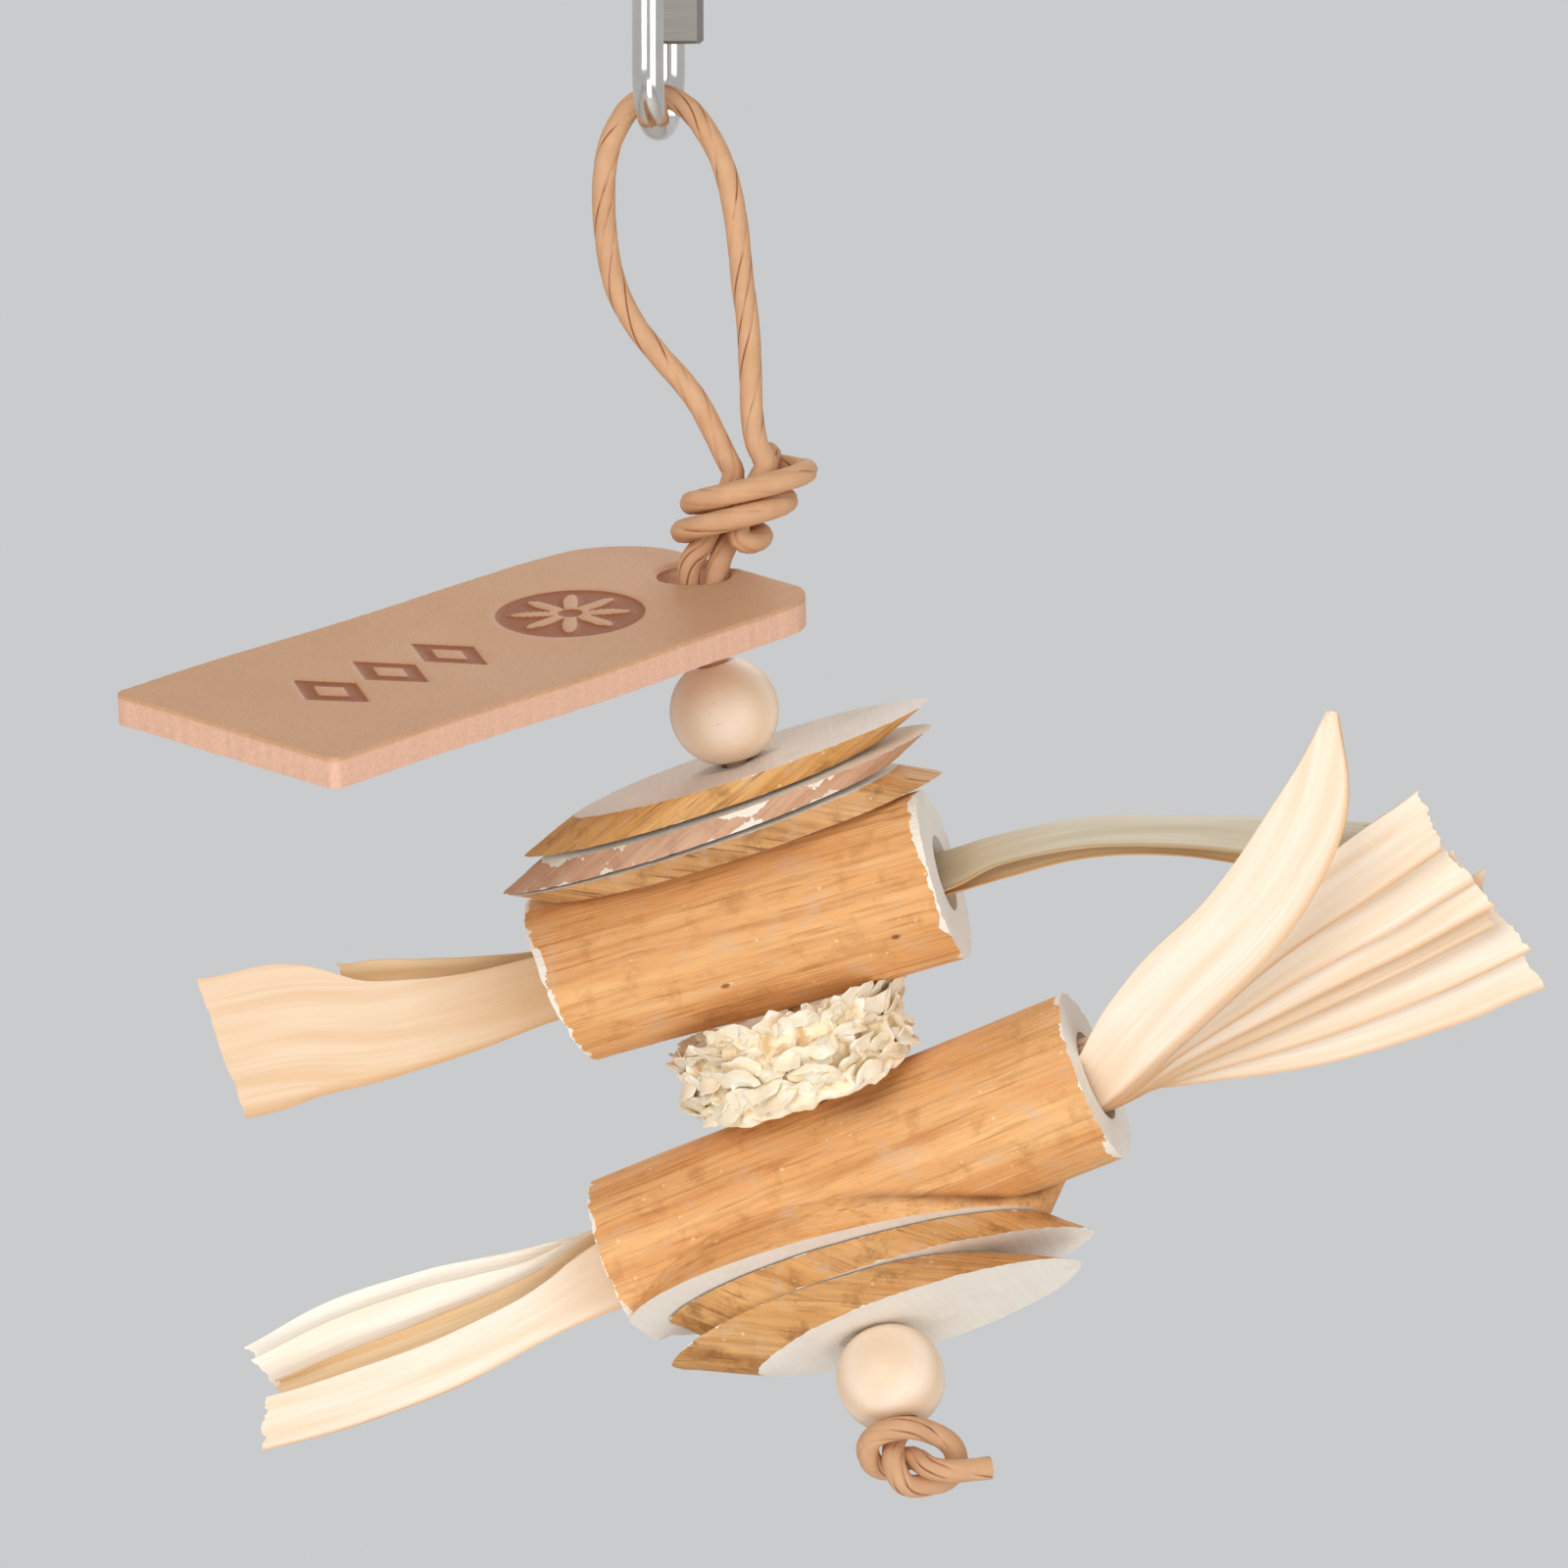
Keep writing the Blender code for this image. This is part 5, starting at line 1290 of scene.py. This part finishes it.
lower_right = mouth(lower_seat, LOWER_LENGTH, LOWER_OFF, 1)
leaf = ((-9, -4.0, -2.2, 4.6, 0), (0, -4.4, 0.4, 6.6, 0), (8, -6.0, 5.0, 9.4, 0), (16, -7.8, 9.0, 10.8, 0))
leaf += ((26, -9.6, 13.4, 11.0, 0), (35, -11.0, 19.0, 10.6, 0), (43, -11.8, 26.2, 8.4, 0))
leaf += ((49.5, -12.2, 35.8, 1.4, 0),)
fan = [(-4.4, 0.9, pale_husk, leaf, {"folds": 0.3, "fold_depth": 0.2, "cup": 0.5, "rag": 0.0})]
fan_ends = (
    (55.0, -3.4, 16.2, 8.0, 8),
    (54.8, -2.2, 11.4, 10.8, 8),
    (56.2, -1.4, 6.4, 9.0, 12),
    (57.2, 1.6, 2.4, 7.0, 4),
    (58.0, 3.4, -2.4, 8.2, 14),
    (57.2, 4.0, -7.2, 9.8, 6),
)
fan_shapes = (
    {"folds": 0.5, "fold_depth": 0.5, "cup": 0.7, "rag": 0.4, "skew": 0.02},
    {"folds": 0.25, "fold_depth": 0.3, "cup": 0.3, "rag": 0.35, "skew": -0.02},
    {"folds": 0.3, "fold_depth": 0.5, "cup": -0.3, "skew": -0.01},
    {"folds": 0.7, "fold_depth": 0.8, "cup": 0.6, "rag": 0.5, "skew": 0.02},
    {"folds": 0.3, "fold_depth": 0.5, "skew": -0.02},
    {"folds": 0.25, "cup": -0.4, "rag": 0.2, "skew": -0.01},
)
for i, (end, shape) in enumerate(zip(fan_ends, fan_shapes)):
    reach, back, lift, width, roll = end
    down = i / 5
    y = FAN_FIRST + FAN_STEP * i
    stations = (
        (12, y * 1.1, 3.6 - 7.6 * down, 6.6, 0),
        (28, 0.55 * y + 0.45 * back, 4.6 - 9.4 * down + 0.3 * lift, 0.55 * width + 2.4, roll / 2),
        (44, 0.2 * y + 0.8 * back, 3.8 - 7.2 * down + 0.6 * lift, 0.85 * width + 0.8, roll),
        end,
    )
    fan.append((y, 0.9, peach_husk if i == 3 else pale_husk, stations, shape))
husk_bunch("lower_right_husk", lower_right, LOWER_BORE, LOWER_BORE_DEPTH, fan)


# Lower bark slices
# Two thicker slices under the side branch, with the same bark rim and white faces.
# They lie against its flat cut and turn on the cord's lower end.

SLICE_D = {"length": 51.0, "width": 20.0, "thick": 4.0, "slant": 5.0, "off": 1.9, "yaw": -4.0}
SLICE_E = {"length": 45.0, "width": 20.0, "thick": 5.0, "slant": 11.0, "off": 0.2, "yaw": -13.0}

mottled_bark = bark_finish("mottled_branch_bark", "DFAC70", "C98E50", "784624", 0.3, 0.65, 0.4)

for letter, sizes, place in (("d", SLICE_D, 4), ("e", SLICE_E, 6)):
    shift = Vector((0.13, 0.17, 0.09)) * place
    cut = bark_slice(letter, **sizes, bark=mottled_bark, shift=shift)
    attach(cut, f"slice_{letter}")
    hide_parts(f"bark_slice_{letter}")


# Lower bead and knot
# The second bead closes the stack, and an overhand knot in the cord's lower end holds it up.
# The knot's short tail is cut straight across.

bottom_bead = bead("bottom_bead_turned", "bottom_bead_turn", Vector((0.03, 0.05, 0.02)))
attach(bottom_bead, "bottom_bead")
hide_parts("bottom_bead")

bottom_bead_centre = seat_of("bottom_bead_turn").translation
bead_foot = seat_of("bottom_bead_turn") @ Vector((0, 0, -BEAD_HALF_HEIGHT))
ring = ((0.5, -3.8, -7.6), (0.4, -6.9, -10.2), (1.9, -6.4, -12.7), (4.9, -4.5, -13.0), (7.4, -3.1, -12.3))
side = ((8.4, -2.9, -10.3), (7.6, -4.0, -7.9), (4.9, -5.9, -6.0), (1.75, -7.8, -5.2), (-1.45, -7.3, -6.0))
tuck = ((-2.95, -5.6, -7.9), (-2.35, -4.1, -10.3), (-0.3, -3.2, -11.2), (2.6, -4.2, -9.6))
tail = ((5.1, -7.0, -10.5), (8.4, -7.4, -10.8), (12.7, -6.6, -10.5))
straight = [lower_centre.lerp(flat_seat.translation, CORD_SPLIT), flat_seat.translation]
straight += [seat_of("slice_e_turn").translation, bottom_bead_centre, bead_foot]
knot = [bottom_bead_centre + Vector(place) * MM for place in (*ring, *side, *tuck, *tail)]
cord_tail = twisted_cord("paper_cord_tail_twist", straight + knot)
cord_tail.data.materials.append(kraft)
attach(cord_tail, "lower_stick")
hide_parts("paper_cord_tail")


# Studio
# A pale grey floor well under the hanging toy, a plain grey background and large soft lamps.
# The camera stands a little above the toy and looks down at it by five degrees.

FLOOR_DEPTH = -0.9
FLOOR_SIZE = 3.0
BACKDROP = linear("CACBCC")
CAMERA_LENS = 216.0
CAMERA_SENSOR = 36.0
CAMERA_AT = (0.015875, -1.195434, -0.014237)
CAMERA_DOWN = math.radians(5.0)

floor = begin("plane", "studio_floor", size=FLOOR_SIZE, location=(0, 0, FLOOR_DEPTH))
floor_paper, shader, node = new_finish("pale_floor_paper", 0.8)
shader.inputs["Base Color"].default_value = linear("ECEBE9")
floor.data.materials.append(floor_paper)

world = bpy.data.worlds.new("studio")
bpy.context.scene.world = world
world.use_nodes = True
node = partial(add_node, world.node_tree)
rays = world.node_tree.nodes.new("ShaderNodeLightPath").outputs
seen = node("Math", {0: rays["Is Camera Ray"], 1: rays["Is Glossy Ray"]}, operation="MAXIMUM")
seen = node("Math", {0: seen, 1: rays["Is Transmission Ray"]}, operation="MAXIMUM")
shown = node("Background", {"Color": BACKDROP, "Strength": 1.0})
ambient = node("Background", {"Color": linear("F4F2EE"), "Strength": 0.5})
mixed = node("MixShader", {0: seen, 1: ambient, 2: shown})
world.node_tree.links.new(mixed, world.node_tree.nodes["World Output"].inputs["Surface"])

middle = (cad_box[0] + cad_box[1]) / 2
for name, place, size, power in (
    ("key_lamp", (-0.55, -1.05, 0.4), 0.8, 7.4),
    ("fill_lamp", (0.75, -1.0, 0.0), 0.9, 4.2),
    ("low_lamp", (0.1, -0.9, -0.5), 0.5, 2.0),
    ("back_lamp", (0.2, 0.8, 0.6), 0.6, 3.0),
):
    data = bpy.data.lights.new(name, "AREA")
    data.size = size
    data.energy = power
    lamp = bpy.data.objects.new(name, data)
    bpy.context.scene.collection.objects.link(lamp)
    lamp.location = middle + Vector(place)
    lamp.rotation_euler = Vector(place).to_track_quat("Z", "Y").to_euler()

camera_data = bpy.data.cameras.new("front_camera")
camera_data.lens = CAMERA_LENS
camera_data.sensor_width = CAMERA_SENSOR
camera = bpy.data.objects.new("front_camera", camera_data)
bpy.context.scene.collection.objects.link(camera)
camera.location = CAMERA_AT
camera.rotation_euler = (math.radians(90.0) - CAMERA_DOWN, 0, 0)
bpy.context.scene.camera = camera
bpy.context.scene.view_settings.view_transform = "Standard"
